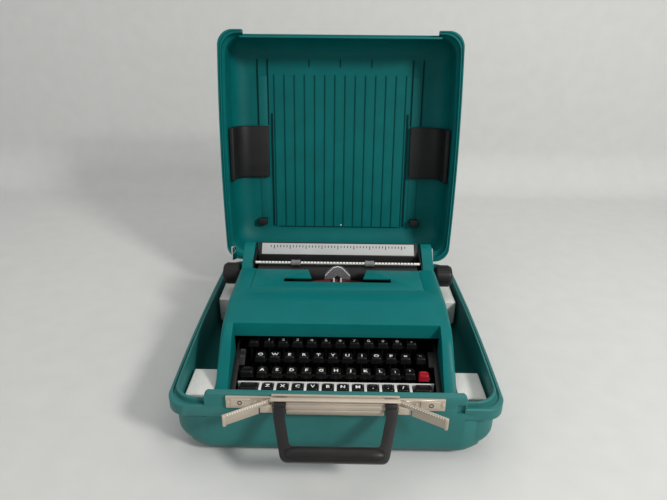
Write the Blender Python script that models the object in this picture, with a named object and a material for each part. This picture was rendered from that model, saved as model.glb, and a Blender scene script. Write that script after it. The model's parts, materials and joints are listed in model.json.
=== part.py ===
"""A portable typewriter in its hinged carrying case, modelled with the lid open.

Frame: origin at the centre of the case's flat underside, X to the right, Y to the back, Z up.
Sizes are in millimetres; each mesh is scaled to metres as it is made.
"""

import math

import bmesh
import bpy
from mathutils import Matrix, Vector

# --- Named sizes (mm) ---------------------------------------------------------------------------
CASE_WIDTH = 400.0
CASE_DEPTH = 383.0
RIM_HEIGHT = 78.0
LID_DEPTH = 87.0
BODY_WIDTH = 298.0
PLATEAU_HEIGHT = 130.0
KEY_PITCH = 19.0
PLATEN_RADIUS = 17.0
HANDLE_REACH = 52.0

SIDE_BOW = 4.0
CORNER = 24.0
WALL = 3.0
BAND = 5.8
BAND_DROP = 16.0
UNDER_ROUND = 35.0
TONGUE = 5.0
WALL_X = 149.5
WALL_TOP = 94.5
FRONT_ROUND = 30.0
PAD_END = 127.5
RIB_COUNT = 14
RIB_STEP = 18.0
GAP = 0.3
LID_OPEN = math.radians(96.8)
HINGE_Y = CASE_DEPTH / 2 + 2.9
HANDLE_Y = -CASE_DEPTH / 2 - 10.5
HANDLE_Z = 90.0
HANDLE_OUT = math.radians(55.0)
LATCH_PIN = (71.0, HANDLE_Y + 4.0)
LATCH_SPLAY = math.radians(30.0)
KNUCKLE = 4.5
PIN_RADIUS = 2.0

FLOOR = WALL + 0.4
PAN_TOP = FLOOR + 7.4
BODY_X = BODY_WIDTH / 2
ARM_WIDTH = 15.0
WELL_X = BODY_X - ARM_WIDTH
SKIN = 2.5
FRONT_Y = -168.0
BROW_Y = -80.0
REAR_Y = 166.0
VALLEY_Y = 61.0
VALLEY_Z = 86.0

KEY_CAP = KEY_PITCH * 0.763
CAP_HEIGHT = 8.0
KEY_TRAVEL_PIVOT = (66.0, 37.0)
LEVER_THICK = 1.2
LEVER_TOP = 41.0
SPACE_LEVER_TOP = 31.5
LEVER_HEIGHT = 6.0
ROW_STEP_Y = 20.0
ROW_STEP_Z = 9.7
FIRST_ROW = (-129.0, 59.0)

PLATEN_Y, PLATEN_Z = 84.0, 109.0
PLATEN_HALF = 124.0
CARRIAGE_Z = 88.4
END_INNER, END_OUTER = 132.0, 149.0
BAIL_GAP = 4.87
BAIL_PIVOT = (112.0, 138.0)
RELEASE_HUB = (98.0, 121.0)
RETURN_HUB = (-141.0, 118.0)
PRINT_Z = 109.0
SPOOL = (84.0, 12.0)
SEGMENT_Y, SEGMENT_RADIUS = 40.0, 54.0


# --- Mesh helpers -------------------------------------------------------------------------------
def keep(name, mesh):
    """Scale a bmesh from mm to metres, face it outwards and link it as one object."""
    bmesh.ops.recalc_face_normals(mesh, faces=mesh.faces)
    bmesh.ops.scale(mesh, vec=(0.001, 0.001, 0.001), verts=mesh.verts)
    data = bpy.data.meshes.new(name)
    mesh.to_mesh(data)
    mesh.free()
    obj = bpy.data.objects.new(name, data)
    bpy.context.scene.collection.objects.link(obj)
    return obj


def skin_rings(rings):
    """Closed bmesh through rings of equal length, with both ends capped."""
    mesh = bmesh.new()
    rows = [[mesh.verts.new(point) for point in ring] for ring in rings]
    for lower, upper in zip(rows, rows[1:]):
        for i in range(len(lower)):
            j = (i + 1) % len(lower)
            mesh.faces.new((lower[i], lower[j], upper[j], upper[i]))
    mesh.faces.new(reversed(rows[0]))
    mesh.faces.new(rows[-1])
    return mesh


def prism(name, outline, span, axis="X"):
    """Outline of (a, b) pairs pushed along an axis: YZ along X, XZ along Y or XY along Z."""
    place = {
        "X": lambda a, b, t: (t, a, b),
        "Y": lambda a, b, t: (a, t, b),
        "Z": lambda a, b, t: (a, b, t),
    }[axis]
    return keep(name, skin_rings([[place(a, b, t) for a, b in outline] for t in span]))


def block(name, x, y, z):
    return prism(name, [(x[0], y[0]), (x[1], y[0]), (x[1], y[1]), (x[0], y[1])], z, "Z")


def mirrored(outline):
    """The other half of a symmetrical outline, in the order that closes it."""
    return [(-a, b) for a, b in reversed(outline)]


def circle(centre, radius, sides, start=0.0):
    angles = [start + 2 * math.pi * i / sides for i in range(sides)]
    return [(centre[0] + radius * math.cos(a), centre[1] + radius * math.sin(a)) for a in angles]


def rod(name, centre, radius, span, axis="X", sides=24):
    return prism(name, circle(centre, radius, sides, math.pi / sides), span, axis)


def cap(name, x, y, size, top, height=CAP_HEIGHT, taper=1.4):
    """A key cap: a block that narrows towards its top."""
    wide, deep = size[0] / 2, size[1] / 2
    rings = []
    for z, inset in ((top - height, 0.0), (top - 2.0, taper * 0.7), (top, taper)):
        a, b = wide - inset, deep - inset
        rings.append([(x - a, y - b, z), (x + a, y - b, z), (x + a, y + b, z), (x - a, y + b, z)])
    return keep(name, skin_rings(rings))


def turn(obj, centre, axis, angle):
    """Rotate an object's mesh about an axis through a point given in mm."""
    pivot = Vector(centre) * 0.001
    turn = Matrix.Rotation(angle, 4, axis)
    obj.data.transform(Matrix.Translation(pivot) @ turn @ Matrix.Translation(-pivot))
    obj.data.update()
    return obj


def shape(base, operation, tools):
    """Apply Boolean steps to base and drop the tools."""
    for tool in tools:
        step = base.modifiers.new(operation, "BOOLEAN")
        step.operation = operation
        step.solver = "EXACT"
        step.object = tool
        bpy.context.view_layer.update()
        graph = bpy.context.evaluated_depsgraph_get()
        mesh = bpy.data.meshes.new_from_object(base.evaluated_get(graph))
        base.modifiers.clear()
        old = base.data
        base.data = mesh
        mesh.name = base.name
        bpy.data.meshes.remove(old)
        bpy.data.objects.remove(tool)
    return base


def unite(base, *tools):
    return shape(base, "UNION", tools)


def cut(base, *tools):
    return shape(base, "DIFFERENCE", tools)


def joined(name, objects):
    """Several separate closed meshes as one tool object."""
    mesh = bmesh.new()
    for obj in objects:
        mesh.from_mesh(obj.data)
        bpy.data.objects.remove(obj)
    data = bpy.data.meshes.new(name)
    mesh.to_mesh(data)
    mesh.free()
    obj = bpy.data.objects.new(name, data)
    bpy.context.scene.collection.objects.link(obj)
    return obj


# --- Carrying case ------------------------------------------------------------------------------
def case_outline(inset, z):
    """One ring of the case plan: rounded corners and gently bowed sides."""
    half_x, half_y = CASE_WIDTH / 2 - inset, CASE_DEPTH / 2 - inset
    radius = CORNER + 0.55 * inset
    ring = []
    for sx, sy, start in ((1, 1, 0.0), (-1, 1, 90.0), (-1, -1, 180.0), (1, -1, 270.0)):
        for i in range(6):
            angle = math.radians(start + 18.0 * i)
            x = sx * (half_x - radius) + radius * math.cos(angle)
            y = sy * (half_y - radius) + radius * math.sin(angle)
            ring.append((x, y))
        along = 0.45 if start in (0.0, 180.0) else 0.5
        for share in (along, 0.0, -along):
            if start == 0.0:
                ring.append((share * half_x, half_y))
            elif start == 90.0:
                ring.append((-half_x, share * half_y))
            elif start == 180.0:
                ring.append((-share * half_x, -half_y))
            else:
                ring.append((half_x, -share * half_y))
    side = half_x * 0.6
    bowed = [x - math.copysign(SIDE_BOW, x) * (y / half_y) ** 2 if abs(x) > side else x for x, y in ring]
    return [(x, y, z) for x, (_, y) in zip(bowed, ring)]


def shell_rings(depth, outer_band, sign, z_rim):
    """Outside rings of a shell from its closed face to its rim."""
    rings = []
    for i in range(6):
        angle = math.pi / 2 * i / 5
        inset = outer_band + UNDER_ROUND * (1 - math.sin(angle))
        rings.append(case_outline(inset, z_rim - sign * (depth - UNDER_ROUND * (1 - math.cos(angle)))))
    rings.append(case_outline(outer_band, z_rim - sign * BAND_DROP))
    rings.append(case_outline(0.0, z_rim - sign * (BAND_DROP - 0.6)))
    rings.append(case_outline(0.0, z_rim))
    return rings


def inner_rings(depth, inset, sign, z_rim):
    """Inside rings of a shell from the rim down to the floor."""
    rings = [case_outline(inset, z_rim - sign * BAND_DROP)]
    round_in = UNDER_ROUND - WALL
    for i in range(5, -1, -1):
        angle = math.pi / 2 * i / 5
        deep = z_rim - sign * (depth - WALL - round_in * (1 - math.cos(angle)))
        rings.append(case_outline(inset + round_in * (1 - math.sin(angle)), deep))
    return rings


def knuckles(spans, radius, tag):
    return [rod(f"{tag}{i}", (HINGE_Y, RIM_HEIGHT), radius, span) for i, span in enumerate(spans)]


def front_wall(front):
    """Side view of the front's flush middle: upright to its top, and rounded under into the floor."""
    bend = [math.radians(15.0 * i) for i in range(7)]
    outer = [(front + 0.2 + FRONT_ROUND * (1 - math.cos(a)), FRONT_ROUND * (1 - math.sin(a))) for a in bend]
    reach = UNDER_ROUND - 1.5
    inner = [(front + 8.0 + reach * (1 - math.cos(a)), 1.5 + reach * (1 - math.sin(a))) for a in bend]
    return [(front + 0.2, WALL_TOP), *outer, *reversed(inner), (front + 9.0, 40.0), (front + 9.0, WALL_TOP)]


def build_base_shell():
    rings = shell_rings(RIM_HEIGHT, BAND, 1, RIM_HEIGHT)
    rings.append(case_outline(3.6, RIM_HEIGHT))
    rings.append(case_outline(4.2, RIM_HEIGHT - 2.0))
    rings.append(case_outline(6.4, RIM_HEIGHT - 2.0))
    rings.append(case_outline(6.8, RIM_HEIGHT + TONGUE))
    rings.append(case_outline(9.2, RIM_HEIGHT + TONGUE))
    rings += inner_rings(RIM_HEIGHT, 9.4, 1, RIM_HEIGHT)
    shell = keep("base_shell", skin_rings(rings))
    front = -CASE_DEPTH / 2
    wall = prism("raised_wall", front_wall(front), (-WALL_X, WALL_X))
    edge, top = WALL_X + 1.0, WALL_TOP + 1.0
    for s in (-1, 1):
        corner = [(s * edge, top - 4.0), (s * edge, top), (s * (edge - 4.0), top)]
        cut(wall, prism("corner", corner, (front - 1.0, front + 10.0), "Y"))
    lugs = knuckles([(s * a, s * b) for s in (-1, 1) for a, b in ((110, 122), (138, 150))], KNUCKLE, "lug")
    relief = knuckles([(s * 122.6, s * 137.4) for s in (-1, 1)], KNUCKLE + 0.8, "relief")
    cut(shell, *relief)
    unite(shell, wall, *lugs)
    pocket = block("pocket", (139.0, 148.0), (front - 1.0, front + 3.5), (72.0, 84.0))
    bores = knuckles([(s * 108.0, s * 152.0) for s in (-1, 1)], PIN_RADIUS + 0.2, "bore")
    return cut(shell, pocket, *bores)


def build_lid_shell():
    """Built closed over the base, then swung open about the hinge."""
    rim = RIM_HEIGHT + 0.4
    rings = shell_rings(LID_DEPTH, BAND, -1, rim)
    rings.append(case_outline(5.4, rim))
    rings.append(case_outline(5.4, rim + BAND_DROP - 5.0))
    rings += inner_rings(LID_DEPTH, BAND + WALL, -1, rim)
    shell = keep("lid_shell", skin_rings(rings))
    front = -CASE_DEPTH / 2
    notch = block("notch", (-157.5, 157.5), (front - 5.0, front + 14.0), (rim - 5.0, WALL_TOP + 3.5))
    top = WALL_TOP + 3.5
    apron = [
        (front + 9.9, rim), (front + 12.3, rim), (front + 12.3, top + 5.0), (front + 7.0, top + 5.0),
        (front + 7.0, top + 0.1), (front + 9.9, top + 0.1),
    ]
    spans = [(s * a, s * b) for s in (-1, 1) for a, b in ((109.5, 122.5), (137.5, 150.5))]
    relief = knuckles(spans, KNUCKLE + 0.8, "relief")
    cut(shell, notch, *relief)
    lugs = knuckles([(s * 123.0, s * 137.0) for s in (-1, 1)], KNUCKLE, "lug")
    unite(shell, prism("apron", apron, (-160.5, 160.5)), *lugs)
    ceiling = rim + LID_DEPTH - WALL
    ribs = []
    for i in range(RIB_COUNT):
        x = (i - (RIB_COUNT - 1) / 2) * RIB_STEP
        span = (HINGE_Y - 318.0, HINGE_Y - 42.0)
        ribs.append(block(f"rib{i}", (x - 1.1, x + 1.1), span, (ceiling - 1.6, ceiling + 1.0)))
    panel = joined("ribs", ribs)
    run, rise = (HINGE_Y - 316.0, HINGE_Y - 60.0), (ceiling - 1.0, ceiling + 1.0)
    ledges = [block(f"ledge{s}", (s * 126.5, s * 150.0), run, rise) for s in (-1, 1)]
    bores = knuckles([(s * 122.0, s * 138.0) for s in (-1, 1)], PIN_RADIUS + 0.2, "bore")
    unite(shell, panel, *ledges)
    cut(shell, *bores)
    return swing_lid(shell)


def swing_lid(obj):
    return turn(obj, (0.0, HINGE_Y, RIM_HEIGHT), "X", -LID_OPEN)


def build_lid_trim():
    ceiling = RIM_HEIGHT + 0.4 + LID_DEPTH - WALL
    round_in = UNDER_ROUND - WALL
    centre = (CASE_WIDTH / 2 - BAND - WALL - round_in, ceiling - round_in)

    def pad_face(depth):
        """One face of the pad, a given depth in from the lid's wall and ceiling."""
        radius = round_in - depth
        bend = [math.radians(15.0 * i) for i in range(7)]
        arc = [(centre[0] + radius * math.cos(a), centre[1] + radius * math.sin(a)) for a in bend]
        return [(centre[0] + radius, 104.0), *arc, (PAD_END, ceiling - depth)]

    outer, inner = pad_face(1.6), pad_face(9.0)[::-1]
    for name, s in (("lid_pad_left", -1), ("lid_pad_right", 1)):
        outline = [(s * a, b) for a, b in outer + inner]
        swing_lid(prism(name, outline, (HINGE_Y - 230.0, HINGE_Y - 138.0), "Y"))
    for name, s in (("lid_buffer_left", -1), ("lid_buffer_right", 1)):
        run = (HINGE_Y - 60.0, HINGE_Y - 48.0)
        swing_lid(block(name, tuple(sorted((s * 134.0, s * 150.6))), run, (ceiling - 14.0, ceiling - 1.4)))


def build_case_hardware():
    for name, s in (("hinge_pin_left", -1), ("hinge_pin_right", 1)):
        rod(name, (HINGE_Y, RIM_HEIGHT), PIN_RADIUS, (s * 109.5, s * 150.5), sides=16)
    for name, s, y, top, inner in (
        ("foam_front_left", -1, (-150.0, -98.0), 60.0, BODY_X + 1.5),
        ("foam_front_right", 1, (-150.0, -98.0), 60.0, BODY_X + 1.5),
        ("foam_rear_left", -1, (60.0, 126.0), 75.0, BODY_X + 1.5),
        ("foam_rear_right", 1, (60.0, 126.0), 75.0, BODY_X + 1.5),
    ):
        side = CASE_WIDTH / 2
        low = FLOOR + 4.6
        outline = [(inner, low), (side - 46.0, low), (side - 15.0, 38.0), (side - 15.0, top), (inner, top)]
        prism(name, [(s * a, b) for a, b in outline], y, "Y")

    front = -CASE_DEPTH / 2
    plate = block("latch_rail", (-124.0, 124.0), (front - 3.3, front - GAP), (78.4, 93.8))
    flange = block("flange", (-72.0, 72.0), (front - 14.0, front - 1.0), (97.0, 98.6))
    web = block("web", (-72.0, 72.0), (front - 3.3, front - GAP), (90.0, 98.0))
    boxes = [
        block(f"box{s}", (s * 70.0, s * 84.0), (front - 13.0, front - 2.5), (80.6, 89.6))
        for s in (-1, 1)
    ]
    blisters = [
        block(f"blister{s}", (s * 96.0, s * 118.0), (front - 4.4, front - 2.5), (81.6, 91.6))
        for s in (-1, 1)
    ]
    unite(plate, flange, web, *boxes, *blisters)
    beam = [
        (front - 3.8, 73.6), (front - 8.4, 74.0), (front - 12.0, 77.0), (front - 13.6, 83.0),
        (front - 13.0, 88.0), (front - 10.4, 93.6), (front - 3.8, 95.0),
    ]
    prism("handle_beam", beam, (-54.5, 54.5))

    for name, s in (("latch_left", -1), ("latch_right", 1)):
        bar = block(name, (s * 68.5, s * 129.0), (HANDLE_Y + 3.0, HANDLE_Y + 5.0), (90.4, 95.4))
        blade = block("blade", (s * 87.6, s * 129.0), (HANDLE_Y + 3.0, HANDLE_Y + 5.0), (81.4, 92.0))
        lip = block("lip", (s * 126.0, s * 129.0), (HANDLE_Y + 1.4, HANDLE_Y + 4.0), (81.4, 95.4))
        hub = rod("hub", (s * LATCH_PIN[0], LATCH_PIN[1]), 2.4, (90.4, 95.4), "Z", 12)
        unite(bar, blade, lip, hub)
        turn(bar, (s * LATCH_PIN[0], LATCH_PIN[1], 0.0), "Z", -s * LATCH_SPLAY)
    build_handle()


def build_handle():
    """Modelled hanging straight down, then swung out to where it rests."""
    z = HANDLE_Z
    reach = HANDLE_REACH
    outer = [
        (68.0, z + 5.0), (68.0, z - 14.0), (57.0, z - reach - 3.0), (52.0, z - reach - 7.5),
        (44.0, z - reach - 8.5),
    ]
    inner = [
        (41.0, z - reach + 8.0), (46.0, z - reach + 10.0), (48.5, z - reach + 15.0),
        (56.0, z - 12.0), (56.0, z + 5.0),
    ]
    outline = outer + mirrored(outer) + mirrored(inner) + inner
    bow = prism("handle", outline, (HANDLE_Y - 4.0, HANDLE_Y + 4.0), "Y")
    grip = rod("grip", (HANDLE_Y, z - reach), 8.2, (-46.0, 46.0), "X", 16)
    hubs = [rod(f"hub{s}", (HANDLE_Y, z), 6.4, (s * 56.0, s * 68.0), "X", 16) for s in (-1, 1)]
    unite(bow, grip, *hubs)
    turn(bow, (0.0, HANDLE_Y, z), "X", -HANDLE_OUT)


# --- Typewriter body ----------------------------------------------------------------------------
def body_profile(inset):
    top = PLATEAU_HEIGHT - inset
    return [
        (FRONT_Y + inset, PAN_TOP + GAP),
        (FRONT_Y + inset, 40.0),
        (-160.0 + inset * 0.6, 48.0 - inset * 0.6),
        (-141.5 + inset * 0.7, 63.0 - inset * 0.7),
        (-124.0 + inset * 0.8, 80.0 - inset * 0.6),
        (-99.0 + inset * 0.8, 108.0 - inset * 0.6),
        (BROW_Y + inset * 0.3, top - 10.0),
        (-35.0 + inset * 0.2, top - 0.8),
        (-25.0, top),
        (VALLEY_Y - inset - 3.0, top),
        (VALLEY_Y - inset, top - 3.0),
        (VALLEY_Y - inset, VALLEY_Z - inset),
        (150.0, VALLEY_Z - inset),
        (REAR_Y - inset, VALLEY_Z - 8.0 - inset),
        (REAR_Y - inset, PAN_TOP + GAP),
    ]


def build_body_shell():
    profile = body_profile(0.0)
    half_rings = ((BODY_X, 7.0), (BODY_X - 2.2, 3.0), (BODY_X - 7.0, 0.0))
    rings = []
    for x, drop in [(-x, drop) for x, drop in half_rings] + list(reversed(half_rings)):
        shares = [0.0 if i in (0, 14) else 1.0 if 5 <= i <= 10 else 0.25 for i in range(len(profile))]
        rings.append([(x, y, z - drop * share) for (y, z), share in zip(profile, shares)])
    shell = keep("body_shell", skin_rings(rings))

    inner = [(y, z - 60.0 if z < PAN_TOP + 5 else z) for y, z in body_profile(SKIN)]
    rear = [(BROW_Y + SKIN, -50.0)] + [(max(y, BROW_Y + SKIN), z) for y, z in inner[6:]]
    rings = []
    for x, drop in ((-BODY_X + SKIN, 7.4), (-BODY_X + 9.0, 0.6), (BODY_X - 9.0, 0.6), (BODY_X - SKIN, 7.4)):
        shares = [0.0 if z < 0 else 1.0 if i <= 6 else 0.25 for i, (_, z) in enumerate(rear)]
        rings.append([(x, y, z - drop * share) for (y, z), share in zip(rear, shares)])
    chamber = keep("chamber", skin_rings(rings))
    hollow = [(y, z - 3.2 if z > 0 else z) for y, z in inner[:6]]
    hollow += [(BROW_Y + SKIN + 1.0, 108.0), (BROW_Y + SKIN + 1.0, -50.0)]
    arms = [prism(f"arm{s}", hollow, (s * (WELL_X + SKIN), s * (BODY_X - SKIN))) for s in (-1, 1)]
    well = block("well", (-WELL_X, WELL_X), (FRONT_Y + SKIN + 1.0, BROW_Y), (-50.0, 220.0))
    under_brow = block("under_brow", (-WELL_X, WELL_X), (BROW_Y - 2.0, BROW_Y + 6.0), (-50.0, 100.0))
    top = PLATEAU_HEIGHT
    hatch = block("hatch", (-122.0, 122.0), (-1.0, VALLEY_Y + 4.0), (top - 20.0, top + 20.0))
    sill = block("sill", (-123.5, 123.5), (-4.0, VALLEY_Y + 4.0), (top - 2.9, top + 20.0))
    bay = block("bay", (-138.0, 138.0), (VALLEY_Y - 10.0, 142.0), (70.0, top - 8.0))
    return cut(shell, chamber, *arms, well, under_brow, hatch, sill, bay)


def build_ribbon_cover():
    top = PLATEAU_HEIGHT
    cover = block("ribbon_cover", (-123.0, 123.0), (-3.6, VALLEY_Y - 3.0), (top - 2.5, top))
    flare = [(-38.0, 30.0), (-46.0, VALLEY_Y + 5.0), (46.0, VALLEY_Y + 5.0), (38.0, 30.0)]
    window = prism("window", flare, (top - 10.0, top + 10.0), "Z")
    slot = block("slot", (-78.0, 78.0), (18.0, 31.0), (top - 10.0, top + 10.0))
    return cut(cover, window, slot)


def build_frame_parts():
    floor = (FRONT_Y + 5.0, REAR_Y - 3.0)
    pan = block("base_pan", (-BODY_X + 2.0, BODY_X - 2.0), floor, (PAN_TOP - 2.8, PAN_TOP))
    corners = [(sx * 120.0, sy * 125.0) for sx in (-1, 1) for sy in (-1, 1)]
    unite(pan, *[rod("foot", corner, 11.0, (FLOOR, PAN_TOP - 2.0), "Z", 16) for corner in corners])
    x = WELL_X - 0.8
    low = PAN_TOP + GAP
    side = [(-150.0, low), (-150.0, 30.0), (-90.0, 60.0), (-70.0, 80.0), (136.0, 80.0), (136.0, low)]
    plates = [prism(f"side{s}", side, (s * (x - 2.0), s * x)) for s in (-1, 1)]
    chassis = block("chassis", (-x + 1.0, x - 1.0), (132.0, 135.0), (low, 79.0))
    front = block("front_bar", (-x + 1.0, x - 1.0), (-146.0, -141.0), (low, 15.0))
    middle = block("middle_bar", (-x + 1.0, x - 1.0), (75.0, 81.0), (30.0, 46.0))
    unite(chassis, *plates, front, middle)
    unite(chassis, block("rail", (-x, x), (104.0, 124.0), (78.8, 84.0)))
    cut(chassis, block("groove", (-x - 5.0, x + 5.0), (112.0, 116.0), (82.6, 90.0)))
    rod("mainspring_drum", (104.0, 52.0), 21.0, (-126.0, -112.0), "X", 24)
    dome = ((20.0, 50.0), (19.4, 60.0), (14.0, 67.0), (3.0, 69.0))
    keep("bell", skin_rings([[(a, b, z) for a, b in circle((92.0, 108.0), r, 20)] for r, z in dome]))


def build_type_action():
    """Segment, resting typebars, one working typebar, guide, card holder, vibrator and ribbon."""
    segment_y, radius, step = SEGMENT_Y, SEGMENT_RADIUS, math.radians(3.05)
    centre = (0.0, PRINT_Z)
    arc = [math.radians(-90.0 + a) for a in range(-76, 77, 8)]
    ring = [(radius + 8.0, a) for a in arc] + [(radius - 4.0, a) for a in reversed(arc)]
    outline = [(centre[0] + r * math.cos(a), centre[1] + r * math.sin(a)) for r, a in ring]
    basket = prism("typebar_basket", outline, (segment_y - 4.0, segment_y + 4.0), "Y")
    slot = block("slot", (-1.3, 1.3), (0.0, 90.0), (PRINT_Z - radius - 5.5, 200.0))
    cut(basket, slot)

    def along(reach, lift):
        """A point on the resting typebar: distance from its pivot, and height over its centre line."""
        slope = math.radians(15.0)
        return (
            segment_y - reach * math.cos(slope) + lift * math.sin(slope),
            PRINT_Z - radius + reach * math.sin(slope) + lift * math.cos(slope),
        )

    corners = ((-2.0, -2.0), (-2.0, 2.0), (50.0, 2.0), (50.0, 8.0), (57.5, 8.0), (57.5, -2.0))
    shank = [along(*corner) for corner in corners]
    bars = []
    for i in range(-22, 23):
        if abs(i) < 2:
            continue
        bar = prism(f"bar{i}", shank, (-0.6, 0.6))
        turn(bar, (0.0, 0.0, PRINT_Z), "Y", i * step)
        bars.append(bar)
    unite(basket, joined("bars", bars))
    bar = prism("typebar", shank, (-0.7, 0.7))
    slug = [along(50.4, 3.0), along(50.4, 8.2), along(57.1, 8.2), along(57.1, 3.0)]
    unite(bar, prism("slug", slug, (-1.3, 1.3)))

    guide = block("type_guide", (-12.0, 12.0), (55.0, 57.3), (70.0, 104.0))
    cut(guide, prism("notch", [(-3.0, 84.0), (3.0, 84.0), (5.0, 110.0), (-5.0, 110.0)], (50.0, 60.0), "Y"))
    rear = segment_y + 3.5
    for s in (-1, 1):
        arm = block("arm", (s * 8.0, s * 12.0), (rear, 56.0), (70.0, 78.0))
        post = block("post", (s * 8.2, s * 11.8), (rear, rear + 3.0), (53.0, 77.0))
        unite(guide, arm, post)
    unite(basket, guide)

    wing = [(4.5, 98.0), (19.0, 98.0), (20.0, 118.0), (15.0, 125.0), (8.0, 131.5), (3.0, 133.0)]
    outline = wing + [(-a, b) for a, b in reversed(wing)] + [(-4.5, 114.0), (0.0, 117.0), (4.5, 114.0)]
    prism("card_holder", outline, (64.6, 65.4), "Y")

    vibrator = block("ribbon_vibrator", (-6.8, 6.8), (58.4, 59.8), (86.0, 91.0))
    unite(vibrator, *[block(f"fork{s}", (s * 4.2, s * 6.6), (58.4, 59.8), (88.0, 115.0)) for s in (-1, 1)])

    path = [(-75.0, 33.6), (-34.0, 57.0), (-12.0, 62.4), (12.0, 62.4), (34.0, 57.0), (75.0, 33.6)]
    prism("ribbon", path + [(a, b + 0.5) for a, b in reversed(path)], (99.0, 111.7), "Z")
    for name, s in (("ribbon_spool_left", -1), ("ribbon_spool_right", 1)):
        centre = (s * SPOOL[0], SPOOL[1])
        spool = rod(name, centre, 10.0, (97.5, 114.0), "Z", 20)
        unite(spool, *[rod("flange", centre, 21.0, span, "Z", 28) for span in ((96.0, 98.0), (113.0, 115.0))])
        cut(spool, *[rod("hole", hole, 1.6, (90.0, 120.0), "Z", 8) for hole in circle(centre, 6.0, 3)])


# --- Keyboard -----------------------------------------------------------------------------------
def lever(tag, x, y, top, level=LEVER_TOP, stem=(-2.0, 2.0)):
    """Stem under a key and the arm that runs back to the lever pivot."""
    low = level - LEVER_HEIGHT
    back, axle = KEY_TRAVEL_PIVOT
    front, rear = y + stem[0], y + stem[1]
    outline = [(front, top), (front, low), (back, axle - 3.0), (back, axle + 3.0), (rear, level), (rear, top)]
    return prism(tag, outline, (x - LEVER_THICK / 2, x + LEVER_THICK / 2))


def build_key_row(name, index, first_x, count):
    """A strip of caps on its bar, and behind that bar the levers on theirs."""
    y = FIRST_ROW[0] + index * ROW_STEP_Y
    top = FIRST_ROW[1] + index * ROW_STEP_Z
    xs = [first_x + i * KEY_PITCH for i in range(count)]
    ends = (xs[0] - 3.0, xs[-1] + 3.0)
    row = block(name, ends, (y - 2.4, y - 0.2), (top - 11.2, top - 7.0))
    unite(row, joined("caps", [cap(f"cap{i}", x, y, (KEY_CAP, KEY_CAP), top) for i, x in enumerate(xs)]))
    under = top - CAP_HEIGHT - GAP
    levers = block(f"{name}_levers", ends, (y + 0.2, y + 2.4), (top - 11.2, under))
    arms = [lever(f"arm{i}", x, y, under - GAP, stem=(0.2, 2.4)) for i, x in enumerate(xs)]
    unite(levers, joined("arms", arms))


def build_single_key(name, x, y, size, top, lever_x):
    key = cap(name, x, y, size, top)
    edge = lever_x + math.copysign(LEVER_THICK / 2, lever_x - x)
    reach = block("reach", tuple(sorted((x, edge))), (y - 2.4, y + 2.4), (top - 11.0, top - 6.0))
    return unite(key, reach, lever("arm", lever_x, y, top - 8.0))


def build_keyboard():
    half = KEY_PITCH
    build_key_row("key_row_bottom", 0, -4.53 * half, 10)
    build_key_row("key_row_home", 1, -5.0 * half, 11)
    build_key_row("key_row_upper", 2, -5.226 * half, 11)
    build_key_row("key_row_number", 3, -4.737 * half, 11)

    bar_y, bar_top = FIRST_ROW[0] - ROW_STEP_Y, FIRST_ROW[1] - ROW_STEP_Z
    bar = cap("space_bar", 0.0, bar_y, (6.6 * half, 13.0), bar_top, taper=1.6)
    unite(bar, *[lever("arm", x * half, bar_y, bar_top - 5.0, SPACE_LEVER_TOP) for x in (-2.374, 2.626)])

    bottom_y, bottom_top = FIRST_ROW
    shift = rod("shift_keys", (KEY_TRAVEL_PIVOT[0] + 5.0, KEY_TRAVEL_PIVOT[1]), 2.5, (-124.0, 124.0), "X", 12)
    for s, x, wide in ((-1, -109.6, 25.0), (1, 110.6, 22.0)):
        key = cap("cap", x, bottom_y, (wide, KEY_CAP), bottom_top)
        side = s * 118.0
        arm = lever("arm", side, bottom_y, bottom_top - 6.0)
        back = KEY_TRAVEL_PIVOT[0]
        link = block("link", (side - 0.6, side + 0.6), (back - 6.0, back + 5.0), (35.6, 38.4))
        unite(shift, key, arm, link)

    y = bottom_y + ROW_STEP_Y
    build_single_key("shift_lock", -114.6, y, (17.0, KEY_CAP - 1.0), bottom_top + ROW_STEP_Z, -121.0)
    build_single_key("tab_key", 112.7, -111.2, (14.0, 12.0), 67.4, 121.6)
    size, third, fourth = (KEY_CAP - 1.0, KEY_CAP), bottom_top + 2 * ROW_STEP_Z, bottom_top + 3 * ROW_STEP_Z
    build_single_key("backspace_key", 111.0, y + ROW_STEP_Y, size, third, 114.2)
    build_single_key("margin_release", -110.4, y + 2 * ROW_STEP_Y, (KEY_CAP, KEY_CAP), fourth, -114.4)

    def plane(y_at, lift=0.0):
        return bottom_top + (y_at - bottom_y) * ROW_STEP_Z / ROW_STEP_Y - 6.0 + lift

    edge = WELL_X - GAP
    low, high = -141.0, -78.4
    sheet = [(low, plane(low)), (high, plane(high)), (high, plane(high, -2.0)), (low, plane(low, -2.0))]
    panel = prism("keyboard_panel", sheet, (-edge, edge))
    hole = block("hole", (-126.8, 127.0), (-139.0, -98.5), (0.0, 200.0))
    upper = block("upper", (-119.5, 120.5), (-99.5, -70.0), (0.0, 200.0))
    cut(panel, hole, upper)
    comb = block("key_comb", (-125.0, 125.0), (-120.7, -119.0), (44.0, 57.6))
    lip = block("lip", (-125.0, 125.0), (-120.5, -116.5), (43.0, 44.6))
    unite(comb, lip)


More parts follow.
